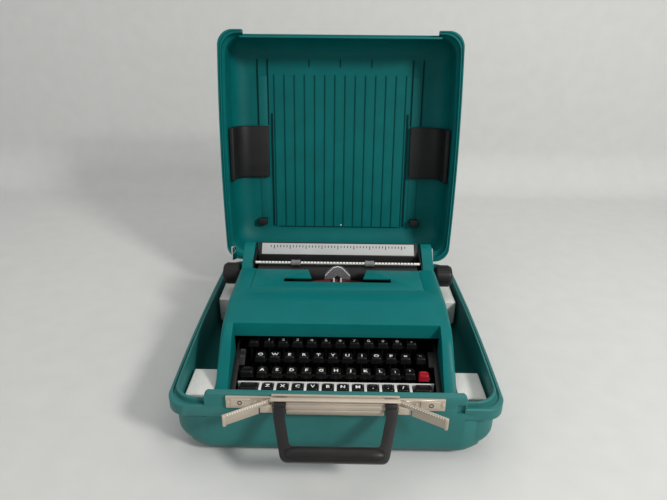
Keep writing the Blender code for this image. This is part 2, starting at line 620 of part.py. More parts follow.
# --- Carriage -----------------------------------------------------------------------------------
def build_carriage():
    truck = block("bearing_truck", (-70.0, 70.0), (106.0, 122.0), (84.4, 88.0))
    windows = [block("window", (x - 6.0, x + 6.0), (109.0, 119.0), (80.0, 92.0)) for x in (-50.0, 0.0, 50.0)]
    cut(truck, *windows)

    front, rear = 66.5, 128.0
    frame = block("carriage_frame", (-131.5, 131.5), (front, rear), (CARRIAGE_Z, CARRIAGE_Z + 2.4))
    rear_wall = block("rear_wall", (-131.5, 131.5), (rear - 2.0, rear), (CARRIAGE_Z, 122.0))
    cheek = [
        (front, CARRIAGE_Z), (front, 116.0), (78.0, 126.0), (100.0, 132.0),
        (118.0, 144.0), (rear, 144.0), (rear, CARRIAGE_Z),
    ]
    cheeks = [prism(f"cheek{s}", cheek, (s * 130.0, s * 131.5)) for s in (-1, 1)]
    unite(frame, rear_wall, *cheeks)
    cut(frame, rod("bearing", (PLATEN_Y, PLATEN_Z), 5.0, (-140.0, 140.0)))

    cover = [
        (front, CARRIAGE_Z), (front, 112.0), (70.0, 119.0), (78.0, 126.0), (94.0, 134.0), (106.0, 142.0),
        (112.0, 145.4), (120.0, 146.4), (128.0, 144.0), (132.0, 138.0), (132.0, CARRIAGE_Z),
    ]
    for name, s in (("carriage_end_left", -1), ("carriage_end_right", 1)):
        end = prism(name, cover, (s * END_INNER, s * END_OUTER))
        cut(end, rod("bearing", (PLATEN_Y, PLATEN_Z), 5.0, (s * 120.0, s * 160.0)))
    platen = rod("platen", (PLATEN_Y, PLATEN_Z), PLATEN_RADIUS, (-PLATEN_HALF, PLATEN_HALF), "X", 48)
    unite(platen, rod("shaft", (PLATEN_Y, PLATEN_Z), 4.0, (-END_OUTER - 3.2, END_OUTER + 3.2), "X", 16))
    for name, s in (("platen_knob_left", -1), ("platen_knob_right", 1)):
        profile = (
            (END_OUTER + 3.6, 14.5), (END_OUTER + 5.0, PLATEN_RADIUS),
            (END_OUTER + 25.0, PLATEN_RADIUS), (END_OUTER + 29.5, PLATEN_RADIUS - 3.0),
        )
        rings = [[(s * x, a, b) for a, b in circle((PLATEN_Y, PLATEN_Z), r, 24)] for x, r in profile]
        keep(name, skin_rings(rings))

    bail_y = PLATEN_Y - 4.0
    bail_z = PLATEN_Z + math.sqrt((PLATEN_RADIUS + BAIL_GAP) ** 2 - 16.0)
    pivot = BAIL_PIVOT
    bail = rod("paper_bail", (bail_y, bail_z), 2.0, (-129.2, 129.2), "X", 12)
    for s in (-1, 1):
        arm = [
            (bail_y - 2.6, bail_z - 2.6), (bail_y - 2.6, bail_z + 2.6),
            (pivot[0], pivot[1] + 2.6), (pivot[0] + 3.0, pivot[1]), (pivot[0], pivot[1] - 2.6),
        ]
        unite(bail, prism("arm", arm, (s * 127.6, s * 129.4)))
    for name, x in (("bail_roller_left", -65.0), ("bail_roller_right", 49.5)):
        roller = rod(name, (bail_y, bail_z), BAIL_GAP - 0.27, (x - 7.0, x + 7.0), "X", 20)
        cut(roller, rod("bore", (bail_y, bail_z), 2.3, (x - 20.0, x + 20.0), "X", 16))

    prism("margin_scale", [(104.0, 133.5), (103.0, 134.4), (115.0, 148.2), (116.0, 147.3)], (-121.0, 121.0))
    table = [(101.6, 111.0), (103.4, 132.6), (118.0, 149.4), (119.2, 148.2), (105.2, 132.0), (103.4, 111.0)]
    prism("paper_table", table, (-126.5, 126.5))

    hub = rod("return_lever", RETURN_HUB, 4.0, (147.0, 151.0), "Z", 16)
    reach = [
        (-142.6, 114.8), (-138.6, 118.8), (-160.0, 97.6), (-164.0, 93.6), (-166.4, 96.4), (-161.0, 101.0),
    ]
    arm = prism("arm", reach, (148.0, 150.4), "Z")
    blade = [(-160.0, 97.4), (-161.8, 99.2), (-167.2, 93.8), (-165.4, 92.0)]
    paddle = prism("paddle", blade, (127.5, 150.0), "Z")
    unite(hub, arm, paddle)
    thick = (END_OUTER + GAP, END_OUTER + 2.6)
    release = rod("carriage_release", RELEASE_HUB, 4.0, thick, "X", 16)
    tab = prism("tab", [(97.0, 118.0), (104.0, 122.0), (118.0, 140.0), (112.0, 143.0)], thick)
    unite(release, tab)


# --- Finishes, places and parents ---------------------------------------------------------------
FINISHES = {
    "case_teal": ((0.024, 0.165, 0.155), 0.46, 0.0),
    "body_teal": ((0.0, 0.145, 0.142), 0.34, 0.0),
    "moulded_black": ((0.012, 0.012, 0.013), 0.42, 0.0),
    "key_black": ((0.008, 0.008, 0.009), 0.26, 0.0),
    "key_red": ((0.33, 0.012, 0.022), 0.28, 0.0),
    "pad_rubber": ((0.013, 0.014, 0.014), 0.52, 0.0),
    "bead_foam": ((0.74, 0.74, 0.70), 0.85, 0.0),
    "dull_nickel": ((0.53, 0.47, 0.40), 0.40, 0.75),
    "bright_chrome": ((0.78, 0.78, 0.77), 0.12, 1.0),
    "light_zinc": ((0.66, 0.66, 0.64), 0.38, 0.35),
    "dark_steel": ((0.05, 0.05, 0.052), 0.45, 0.8),
    "platen_rubber": ((0.012, 0.012, 0.012), 0.48, 0.0),
    "roller_rubber": ((0.20, 0.20, 0.20), 0.6, 0.0),
    "scale_white": ((0.66, 0.67, 0.65), 0.42, 0.0),
    "ribbon_red": ((0.17, 0.012, 0.012), 0.8, 0.0),
    "clear_guide": ((0.78, 0.80, 0.80), 0.18, 0.0),
}

FINISH_OF = {
    "case_teal": ("base_shell", "lid_shell"),
    "body_teal": ("body_shell", "ribbon_cover", "carriage_end_left", "carriage_end_right"),
    "moulded_black": ("handle", "keyboard_panel", "paper_table", "platen_knob_left", "platen_knob_right"),
    "key_black": (
        "key_row_bottom", "key_row_home", "key_row_upper", "key_row_number", "space_bar", "shift_keys",
        "shift_lock", "backspace_key", "margin_release",
    ),
    "key_red": ("tab_key",),
    "pad_rubber": ("lid_pad_left", "lid_pad_right", "lid_buffer_left", "lid_buffer_right"),
    "bead_foam": ("foam_front_left", "foam_front_right", "foam_rear_left", "foam_rear_right"),
    "dull_nickel": ("latch_rail", "handle_beam", "latch_left", "latch_right"),
    "bright_chrome": ("paper_bail", "return_lever", "carriage_release", "bell"),
    "light_zinc": ("key_comb", "ribbon_vibrator"),
    "platen_rubber": ("platen",),
    "roller_rubber": ("bail_roller_left", "bail_roller_right"),
    "scale_white": ("margin_scale",),
    "ribbon_red": ("ribbon",),
    "clear_guide": ("card_holder",),
}


def dress(obj, finish):
    """Give an object its own material, and shade its rounded faces smooth."""
    colour, roughness, metallic = FINISHES[finish]
    material = bpy.data.materials.new(f"{obj.name}_{finish}")
    material.use_nodes = True
    shader = material.node_tree.nodes["Principled BSDF"]
    shader.inputs["Base Color"].default_value = (*colour, 1.0)
    shader.inputs["Roughness"].default_value = roughness
    shader.inputs["Metallic"].default_value = metallic
    obj.data.materials.clear()
    obj.data.materials.append(material)
    obj.data.shade_smooth()
    obj.data.set_sharp_from_angle(angle=math.radians(35.0))


def settle(name, axle, parent=None, axis="X", angle=0.0):
    """Put an object's origin on its axle, carry any swing in its rotation, and parent it."""
    obj = bpy.data.objects[name]
    world = Matrix.Translation(Vector(axle) * 0.001) @ Matrix.Rotation(angle, 4, axis)
    obj.data.transform(world.inverted())
    obj.matrix_world = world
    if parent:
        holder = bpy.data.objects[parent]
        bpy.context.view_layer.update()
        obj.parent = holder
        obj.matrix_basis = holder.matrix_world.inverted() @ world


def settle_everything():
    """Every moving piece stands on its joint's axis, and what travels with it is its child."""
    hinge = (0.0, HINGE_Y, RIM_HEIGHT)
    key_axle = (0.0, *KEY_TRAVEL_PIVOT)
    platen_axle = (0.0, PLATEN_Y, PLATEN_Z)
    bail_axis = (PLATEN_Y - 4.0, PLATEN_Z + math.sqrt((PLATEN_RADIUS + BAIL_GAP) ** 2 - 16.0))
    settle("lid_shell", hinge, "base_shell", "X", -LID_OPEN)
    for name in FINISH_OF["pad_rubber"]:
        settle(name, hinge, "lid_shell", "X", -LID_OPEN)
    settle("handle", (0.0, HANDLE_Y, HANDLE_Z), "base_shell", "X", -HANDLE_OUT)
    for name, s in (("latch_left", -1), ("latch_right", 1)):
        settle(name, (s * LATCH_PIN[0], LATCH_PIN[1], 88.0), "base_shell", "Z", -s * LATCH_SPLAY)
    settle("ribbon_cover", (0.0, -3.6, PLATEAU_HEIGHT), "body_shell")
    for row in ("bottom", "home", "upper", "number"):
        settle(f"key_row_{row}", key_axle, "chassis")
        settle(f"key_row_{row}_levers", key_axle, f"key_row_{row}")
    for name in ("space_bar", "shift_lock", "tab_key", "backspace_key", "margin_release"):
        settle(name, key_axle, "chassis")
    settle("shift_keys", (0.0, KEY_TRAVEL_PIVOT[0] + 5.0, KEY_TRAVEL_PIVOT[1]), "chassis")
    settle("typebar", (0.0, SEGMENT_Y, PRINT_Z - SEGMENT_RADIUS), "chassis")
    for name, s in (("ribbon_spool_left", -1), ("ribbon_spool_right", 1)):
        settle(name, (s * SPOOL[0], SPOOL[1], 105.0), "chassis")
    settle("bearing_truck", (0.0, 114.0, 86.2), "chassis")
    settle("carriage_frame", (0.0, 114.0, CARRIAGE_Z), "bearing_truck")
    for name in ("carriage_end_left", "carriage_end_right", "margin_scale", "paper_table"):
        settle(name, (0.0, 114.0, CARRIAGE_Z), "carriage_frame")
    settle("platen", platen_axle, "carriage_frame")
    for name in ("platen_knob_left", "platen_knob_right"):
        settle(name, platen_axle, "platen")
    settle("paper_bail", (0.0, *BAIL_PIVOT), "carriage_frame")
    for name, x in (("bail_roller_left", -65.0), ("bail_roller_right", 49.5)):
        settle(name, (x, *bail_axis), "paper_bail")
    settle("return_lever", (*RETURN_HUB, 149.0), "carriage_frame")
    settle("carriage_release", (END_OUTER + 1.4, *RELEASE_HUB), "carriage_frame")


# --- Build --------------------------------------------------------------------------------------
def main():
    for obj in list(bpy.data.objects):
        bpy.data.objects.remove(obj)
    build_base_shell()
    build_lid_shell()
    build_lid_trim()
    build_case_hardware()
    build_body_shell()
    build_ribbon_cover()
    build_frame_parts()
    build_type_action()
    build_keyboard()
    build_carriage()
    finish_of = {name: finish for finish, names in FINISH_OF.items() for name in names}
    for obj in bpy.data.objects:
        dress(obj, finish_of.get(obj.name, "dark_steel"))
    settle_everything()


main()
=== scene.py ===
"""Looks of a portable typewriter in its carrying case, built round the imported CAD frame.

Sizes are in millimetres in the frame's axes: X to the typist's right, Y to the back, Z up.
Each mesh is scaled to metres as it is made, so a finished piece sits at the origin, unturned and unscaled.
"""

from __future__ import annotations

import json
import logging
import math
from collections.abc import Callable, Iterable, Sequence
from dataclasses import dataclass
from enum import Enum
from typing import Any

import bmesh
import bpy
from mathutils import Matrix, Vector

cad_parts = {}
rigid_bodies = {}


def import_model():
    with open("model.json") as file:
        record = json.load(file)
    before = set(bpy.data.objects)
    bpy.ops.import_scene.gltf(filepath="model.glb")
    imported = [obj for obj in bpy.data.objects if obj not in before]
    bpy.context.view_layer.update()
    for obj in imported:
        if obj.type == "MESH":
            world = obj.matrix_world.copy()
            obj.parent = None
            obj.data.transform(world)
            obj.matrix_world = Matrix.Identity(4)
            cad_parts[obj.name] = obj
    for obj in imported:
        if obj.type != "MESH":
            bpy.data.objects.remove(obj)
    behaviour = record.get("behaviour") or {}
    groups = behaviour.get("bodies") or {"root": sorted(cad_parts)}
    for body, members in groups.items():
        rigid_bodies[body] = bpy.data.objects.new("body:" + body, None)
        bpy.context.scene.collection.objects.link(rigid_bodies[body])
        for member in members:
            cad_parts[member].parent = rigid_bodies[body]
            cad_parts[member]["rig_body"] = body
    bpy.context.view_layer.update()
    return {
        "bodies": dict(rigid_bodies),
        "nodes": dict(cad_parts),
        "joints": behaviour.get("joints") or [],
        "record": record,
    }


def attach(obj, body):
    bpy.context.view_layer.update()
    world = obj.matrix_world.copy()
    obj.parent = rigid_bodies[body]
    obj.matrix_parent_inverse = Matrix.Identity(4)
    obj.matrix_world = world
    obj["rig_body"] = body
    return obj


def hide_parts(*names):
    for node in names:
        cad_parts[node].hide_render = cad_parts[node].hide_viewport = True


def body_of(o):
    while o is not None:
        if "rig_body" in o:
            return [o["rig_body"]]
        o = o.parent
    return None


LOG = logging.getLogger("typewriter")
MM = 0.001
QUARTER_TURN = [math.radians(7.5 * i) for i in range(13)]

Point2 = tuple[float, float]
Point3 = tuple[float, float, float]
Span = tuple[float, float]

SIDES = (("left", -1), ("right", 1))
PLACES: dict[str, Callable[[float, float, float], Point3]] = {
    "X": lambda a, b, t: (t, a, b),
    "Y": lambda a, b, t: (a, t, b),
    "Z": lambda a, b, t: (a, b, t),
}


# --- Finishes -----------------------------------------------------------------------------------
class Grain(Enum):
    """Surface relief of a finish."""

    SMOOTH = "smooth"
    PEBBLED = "pebbled"
    BRUSHED = "brushed"
    FOAM = "foam"
    WOVEN = "woven"


@dataclass(frozen=True)
class Finish:
    """One finish, with its colour, gloss and relief."""

    name: str
    colour: tuple[float, float, float]
    roughness: float = 0.45
    metallic: float = 0.0
    grain: Grain = Grain.SMOOTH
    grain_size: float = 1.0
    relief: float = 0.1
    mottle: float = 0.10
    alpha: float = 1.0
    wear: float = 0.0
    specular: float = 0.5

    def material(self) -> bpy.types.Material:
        """The node material of this finish, made once.

        Returns:
            The material.
        """
        name = f"{self.name}_finish"
        found = bpy.data.materials.get(name)
        if found is not None:
            return found
        material = bpy.data.materials.new(name)
        material.use_nodes = True
        nodes, links = material.node_tree.nodes, material.node_tree.links
        shader = nodes["Principled BSDF"]
        shader.inputs["Metallic"].default_value = self.metallic
        shader.inputs["Specular IOR Level"].default_value = self.specular
        shader.inputs["Alpha"].default_value = self.alpha
        place = nodes.new("ShaderNodeTexCoord").outputs["Object"]
        self._colour(nodes, links, place, shader)
        self._gloss(nodes, links, place, shader)
        self._bump(nodes, links, place, shader)
        return material

    def _noise(self, nodes: Any, links: Any, place: Any, scale: float, detail: float = 4.0) -> Any:
        """A noise texture of a given scale on object coordinates."""
        noise = nodes.new("ShaderNodeTexNoise")
        noise.inputs["Scale"].default_value = scale
        noise.inputs["Detail"].default_value = detail
        links.new(place, noise.inputs["Vector"])
        return noise.outputs["Fac"]

    def _colour(self, nodes: Any, links: Any, place: Any, shader: Any) -> None:
        """Base colour: slow mottling, and rubbed paler edges where the finish wears."""
        ramp = nodes.new("ShaderNodeValToRGB")
        ramp.color_ramp.elements[0].position = 0.3
        ramp.color_ramp.elements[1].position = 0.7
        ramp.color_ramp.elements[0].color = (*[c * (1.0 - self.mottle) for c in self.colour], 1.0)
        ramp.color_ramp.elements[1].color = (
            *[min(1.0, c * (1.0 + self.mottle)) for c in self.colour], 1.0
        )
        links.new(self._noise(nodes, links, place, 28.0, 6.0), ramp.inputs["Fac"])
        colour = ramp.outputs["Color"]
        if self.wear > 0.0:
            edge = nodes.new("ShaderNodeMapRange")
            edge.inputs["From Min"].default_value = 0.52
            edge.inputs["From Max"].default_value = 0.60
            edge.inputs["To Max"].default_value = self.wear
            links.new(nodes.new("ShaderNodeNewGeometry").outputs["Pointiness"], edge.inputs["Value"])
            mix = nodes.new("ShaderNodeMix")
            mix.data_type = "RGBA"
            mix.inputs["B"].default_value = (*[min(1.0, c * 1.6 + 0.05) for c in self.colour], 1.0)
            links.new(edge.outputs["Result"], mix.inputs["Factor"])
            links.new(colour, mix.inputs["A"])
            colour = mix.outputs["Result"]
        links.new(colour, shader.inputs["Base Color"])

    def _gloss(self, nodes: Any, links: Any, place: Any, shader: Any) -> None:
        """Roughness that varies a little, as handling leaves it."""
        spread = nodes.new("ShaderNodeMapRange")
        spread.inputs["To Min"].default_value = max(0.02, self.roughness - 0.07)
        spread.inputs["To Max"].default_value = min(1.0, self.roughness + 0.09)
        links.new(self._noise(nodes, links, place, 60.0, 5.0), spread.inputs["Value"])
        links.new(spread.outputs["Result"], shader.inputs["Roughness"])

    def _bump(self, nodes: Any, links: Any, place: Any, shader: Any) -> None:
        """Relief from the finish's grain."""
        mapping = nodes.new("ShaderNodeMapping")
        links.new(place, mapping.inputs["Vector"])
        scale = 1000.0 / self.grain_size
        if self.grain in (Grain.PEBBLED, Grain.FOAM):
            cells = nodes.new("ShaderNodeTexVoronoi")
            cells.feature = "SMOOTH_F1" if self.grain is Grain.PEBBLED else "DISTANCE_TO_EDGE"
            cells.inputs["Scale"].default_value = scale
            links.new(mapping.outputs["Vector"], cells.inputs["Vector"])
            height = cells.outputs["Distance"]
        elif self.grain is Grain.WOVEN:
            wave = nodes.new("ShaderNodeTexWave")
            wave.inputs["Scale"].default_value = scale
            wave.bands_direction = "DIAGONAL"
            links.new(mapping.outputs["Vector"], wave.inputs["Vector"])
            height = wave.outputs["Fac"]
        else:
            if self.grain is Grain.BRUSHED:
                mapping.inputs["Scale"].default_value = (0.04, 1.0, 1.0)
            noise = nodes.new("ShaderNodeTexNoise")
            noise.inputs["Scale"].default_value = scale
            noise.inputs["Detail"].default_value = 3.0
            links.new(mapping.outputs["Vector"], noise.inputs["Vector"])
            height = noise.outputs["Fac"]
        bump = nodes.new("ShaderNodeBump")
        bump.inputs["Strength"].default_value = self.relief
        bump.inputs["Distance"].default_value = 0.25 * MM * max(self.grain_size, 0.4)
        links.new(height, bump.inputs["Height"])
        links.new(bump.outputs["Normal"], shader.inputs["Normal"])


CASE_TEAL = Finish(
    "case_teal_grained", (0.018, 0.140, 0.132), 0.5, grain=Grain.PEBBLED, grain_size=1.1, relief=0.3,
    mottle=0.07,
    wear=0.2, specular=0.3,
)
LID_TEAL = Finish(
    "lid_teal_moulded", (0.0, 0.120, 0.118), 0.5, grain_size=2.2, relief=0.10, mottle=0.08, wear=0.15,
    specular=0.15,
)
# Painted shade: the ribs are the lid's own teal, and this darker teal paints the shading along them.
LID_RIB_PAINTED_SHADE = Finish(
    "lid_teal_rib", (0.0, 0.070, 0.070), 0.55, grain_size=2.2, relief=0.10, mottle=0.08, specular=0.1,
)
# Painted shade: a near-black teal for strips that stand in for the shading in the lid's grooves and along
# its edges.
LID_STRIP_PAINTED_SHADE = Finish(
    "lid_teal_channel", (0.0, 0.022, 0.024), 0.6, grain_size=2.2, relief=0.10, mottle=0.1, specular=0.1,
)
BODY_TEAL = Finish(
    "body_teal_satin", (0.0, 0.132, 0.130), 0.42, grain_size=0.8, relief=0.08, mottle=0.05, wear=0.12,
    specular=0.15,
)
MOULDED_BLACK = Finish(
    "moulded_black", (0.010, 0.009, 0.009), 0.45, grain_size=0.7, relief=0.2, mottle=0.2, wear=0.15,
    specular=0.3,
)
KEY_BLACK = Finish(
    "key_black", (0.006, 0.006, 0.006), 0.32, grain_size=1.5, relief=0.05, mottle=0.15, specular=0.3
)
LINER_BLACK = Finish(
    "liner_matt_black", (0.005, 0.005, 0.006), 0.8, grain_size=0.6, relief=0.3, mottle=0.2
)
KEY_RED = Finish(
    "key_red", (0.34, 0.010, 0.020), 0.35, grain_size=1.5, relief=0.05, mottle=0.12, specular=0.3
)
# White for the inlaid key legends, and also for the painted highlights along the latch levers' top edges
# and the card holder's arched edge.
LEGEND_AND_HIGHLIGHT_WHITE = Finish("legend_white", (0.85, 0.85, 0.82), 0.5, grain_size=0.5, relief=0.1, mottle=0.04)
LEGEND_GREY = Finish("legend_grey", (0.10, 0.10, 0.10), 0.5, grain_size=0.5, relief=0.1, mottle=0.1)
NICKEL = Finish("dull_nickel", (0.50, 0.43, 0.35), 0.45, 0.55, Grain.BRUSHED, 0.5, 0.22, 0.10, wear=0.2)
CHROME = Finish("bright_chrome", (0.78, 0.78, 0.77), 0.12, 1.0, grain_size=2.0, relief=0.05, mottle=0.04)
# Painted reflection: the bail bar is chrome, and this pale, mostly non-metal colour paints the white it
# reflects.
BAIL_CHROME_PAINTED_SHEEN = Finish("bail_steel", (0.82, 0.81, 0.77), 0.3, 0.25, grain_size=2.0, relief=0.05, mottle=0.04)
ZINC = Finish("light_zinc", (0.72, 0.72, 0.70), 0.38, 0.15, Grain.BRUSHED, 0.4, 0.2, 0.10)
# Blackened steel for the dark working parts; the same dark colour also paints the shade in the latch
# rail's holes.
DARK_STEEL_AND_HOLE_SHADE = Finish("blackened_steel", (0.012, 0.012, 0.013), 0.5, 0.5, Grain.BRUSHED, 0.5, 0.25, 0.25)
TYPE_STEEL = Finish("type_steel", (0.05, 0.05, 0.055), 0.42, 0.8, Grain.BRUSHED, 0.4, 0.2, 0.2)
PLATEN_RUBBER = Finish(
    "platen_rubber", (0.008, 0.008, 0.008), 0.5, grain=Grain.BRUSHED, grain_size=0.4, relief=0.2,
    mottle=0.25,
    specular=0.3,
)
ROLLER_RUBBER = Finish("roller_rubber", (0.17, 0.17, 0.17), 0.6, grain_size=0.5, relief=0.2, mottle=0.15)
PAD_RUBBER = Finish(
    "pad_rubber", (0.010, 0.010, 0.010), 0.55, grain=Grain.PEBBLED, grain_size=2.2, relief=0.2,
    mottle=0.3,
    wear=0.2, specular=0.3,
)
SCALE_WHITE = Finish(
    "scale_white", (0.42, 0.43, 0.425), 0.5, grain_size=1.2, relief=0.06, mottle=0.05, specular=0.15
)
SCALE_INK = Finish(
    "scale_ink", (0.01, 0.01, 0.01), 0.6, grain_size=0.5, relief=0.05, mottle=0.1, specular=0.2
)
POLY_FOAM = Finish(
    "bead_foam", (0.62, 0.62, 0.59), 0.85, grain=Grain.FOAM, grain_size=4.2, relief=0.55, mottle=0.06,
)
RIBBON_RED = Finish(
    "ribbon_red", (0.17, 0.012, 0.012), 0.8, grain=Grain.WOVEN, grain_size=0.5, relief=0.3, mottle=0.3
)
RIBBON_BLACK = Finish(
    "ribbon_black", (0.010, 0.010, 0.011), 0.8, grain=Grain.WOVEN, grain_size=0.5, relief=0.3, mottle=0.3,
)
CLEAR = Finish(
    "clear_guide", (0.70, 0.72, 0.72), 0.15, grain_size=2.0, relief=0.05, mottle=0.03, alpha=0.10
)
BACKDROP_PAINT = Finish(
    "backdrop_paint", (0.60, 0.60, 0.585), 0.8, grain_size=3.0, relief=0.03, mottle=0.02, specular=0.2
)


# --- Mesh work ----------------------------------------------------------------------------------
def loft(rings: Sequence[Sequence[Point3]], capped: bool = True) -> bmesh.types.BMesh:
    """A skin through rings of equal length.

    Args:
        rings: Rings of points, in mm.
        capped: Whether to close both ends.

    Returns:
        The mesh, still in mm.
    """
    mesh = bmesh.new()
    rows = [[mesh.verts.new(point) for point in ring] for ring in rings]
    for lower, upper in zip(rows, rows[1:]):
        for i, corner in enumerate(lower):
            j = (i + 1) % len(lower)
            mesh.faces.new((corner, lower[j], upper[j], upper[i]))
    if capped:
        mesh.faces.new(reversed(rows[0]))
        mesh.faces.new(rows[-1])
    return mesh


def rounded(points: Sequence[Point2], radius: float | Sequence[float], steps: int = 5) -> list[Point2]:
    """A closed outline with each corner turned into an arc.

    Args:
        points: Corners of the outline.
        radius: One radius, or one for each corner.
        steps: Segments in each arc.

    Returns:
        The rounded outline.
    """
    radii = [radius] * len(points) if isinstance(radius, (int, float)) else list(radius)
    outline: list[Point2] = []
    for i, corner in enumerate(points):
        here = Vector(corner)
        before, after = Vector(points[i - 1]) - here, Vector(points[(i + 1) % len(points)]) - here
        half = before.angle(after) / 2
        reach = min(radii[i] / math.tan(half), before.length * 0.48, after.length * 0.48)
        if reach < 0.02 or half > math.radians(88.5):
            outline.append((here.x, here.y))
            continue
        start, end = here + before.normalized() * reach, here + after.normalized() * reach
        for k in range(steps + 1):
            t = k / steps
            spot = start * (1 - t) ** 2 + here * 2 * t * (1 - t) + end * t**2
            outline.append((spot.x, spot.y))
    return outline


def mirrored(points: Sequence[Point2]) -> list[Point2]:
    """The points reflected from right to left and in reverse, to carry an outline on."""
    return [(-a, b) for a, b in reversed(points)]


def stacked(half: Point2, steps: Iterable[Point3], base: Point3 = (0.0, 0.0, 0.0)) -> list[list[Point3]]:
    """Rounded rectangles above one another.

    Args:
        half: Half sizes of the widest.
        steps: For each, its height, its inset and its corner radius.
        base: Where their heights start from.

    Returns:
        Their rings of points.
    """
    rings = []
    for z, inset, radius in steps:
        a, b = half[0] - inset, half[1] - inset
        ring = rounded([(a, -b), (a, b), (-a, b), (-a, -b)], radius, 4)
        rings.append([(base[0] + x, base[1] + y, base[2] + z) for x, y in ring])
    return rings


def along_axis(outline: Sequence[Point2], span: Iterable[float], axis: str) -> bmesh.types.BMesh:
    """An outline pushed along an axis: YZ along X, XZ along Y, or XY along Z.

    Args:
        outline: Pairs of coordinates.
        span: Places along the axis.
        axis: X, Y or Z.

    Returns:
        The mesh, in mm.
    """
    place = PLACES[axis]
    return loft([[place(a, b, t) for a, b in outline] for t in span])


def slab(x: Span, y: Span, z: Span) -> bmesh.types.BMesh:
    """A rectangular solid, in mm."""
    return along_axis([(x[0], y[0]), (x[1], y[0]), (x[1], y[1]), (x[0], y[1])], z, "Z")


def circle(centre: Point2, radius: float, sides: int) -> list[Point2]:
    """Points round a circle."""
    step = 2 * math.pi / sides
    return [
        (centre[0] + radius * math.cos(i * step), centre[1] + radius * math.sin(i * step))
        for i in range(sides)
    ]


def turned(centre: Point2, profile: Sequence[Point2], axis: str, sides: int = 64) -> bmesh.types.BMesh:
    """A turned solid.

    Args:
        centre: Centre in the plane across the axis.
        profile: (place along the axis, radius) pairs.
        axis: X, Y or Z.
        sides: Segments round it.

    Returns:
        The mesh, in mm.
    """
    place = PLACES[axis]
    return loft([[place(a, b, t) for a, b in circle(centre, r, sides)] for t, r in profile])


def merged(*meshes: bmesh.types.BMesh) -> bmesh.types.BMesh:
    """Several meshes in one, as separate shells."""
    whole = bmesh.new()
    for mesh in meshes:
        data = bpy.data.meshes.new("shell")
        bmesh.ops.recalc_face_normals(mesh, faces=mesh.faces)
        mesh.to_mesh(data)
        whole.from_mesh(data)
        mesh.free()
        bpy.data.meshes.remove(data)
    return whole


def linked(name: str, mesh: bmesh.types.BMesh) -> bpy.types.Object:
    """An object in the scene from a mesh in metres, which is used up."""
    data = bpy.data.meshes.new(name)
    mesh.to_mesh(data)
    mesh.free()
    obj = bpy.data.objects.new(name, data)
    bpy.context.scene.collection.objects.link(obj)
    return obj


def raw_object(name: str, mesh: bmesh.types.BMesh) -> bpy.types.Object:
    """A linked object from a mesh in mm, facing outwards and scaled to metres."""
    bmesh.ops.recalc_face_normals(mesh, faces=mesh.faces)
    bmesh.ops.scale(mesh, vec=(MM, MM, MM), verts=mesh.verts)
    return linked(name, mesh)


def evaluate(obj: bpy.types.Object) -> bpy.types.Object:
    """Replace an object's mesh by its evaluated one and drop its modifiers."""
    bpy.context.view_layer.update()
    data = bpy.data.meshes.new_from_object(obj.evaluated_get(bpy.context.evaluated_depsgraph_get()))
    obj.modifiers.clear()
    old, obj.data = obj.data, data
    data.name = obj.name
    bpy.data.meshes.remove(old)
    return obj


def combine(base: bpy.types.Object, operation: str, *tools: bmesh.types.BMesh) -> bpy.types.Object:
    """Boolean steps on an object.

    Args:
        base: The object to change.
        operation: UNION or DIFFERENCE.
        tools: Meshes in mm, used up.

    Returns:
        The object.
    """
    for mesh in tools:
        tool = raw_object("tool", mesh)
        step = base.modifiers.new("Boolean", "BOOLEAN")
        step.operation, step.solver, step.object = operation, "EXACT", tool
        evaluate(base)
        data = tool.data
        bpy.data.objects.remove(tool)
        bpy.data.meshes.remove(data)
    return base


def edge_softened(
    obj: bpy.types.Object, width: float, segments: int = 3, angle: float = 32.0
) -> bpy.types.Object:
    """Round an object's sharp edges.

    Args:
        obj: The object.
        width: Width of the rounding, in mm.
        segments: Segments across it.
        angle: Edges sharper than this many degrees are rounded.

    Returns:
        The object.
    """
    bevel = obj.modifiers.new("Bevel", "BEVEL")
    bevel.width = width * MM
    bevel.segments = segments
    bevel.limit_method = "ANGLE"
    bevel.angle_limit = math.radians(angle)
    bevel.miter_outer = "MITER_ARC"
    bevel.use_clamp_overlap = True
    return evaluate(obj)


def turned_about(obj: bpy.types.Object, centre: Point3, axis: str, degrees: float) -> bpy.types.Object:
    """Turn an object's mesh about an axis through a point in mm."""
    pivot = Vector(centre) * MM
    turn = Matrix.Rotation(math.radians(degrees), 4, axis)
    obj.data.transform(Matrix.Translation(pivot) @ turn @ Matrix.Translation(-pivot))
    obj.data.update()
    return obj


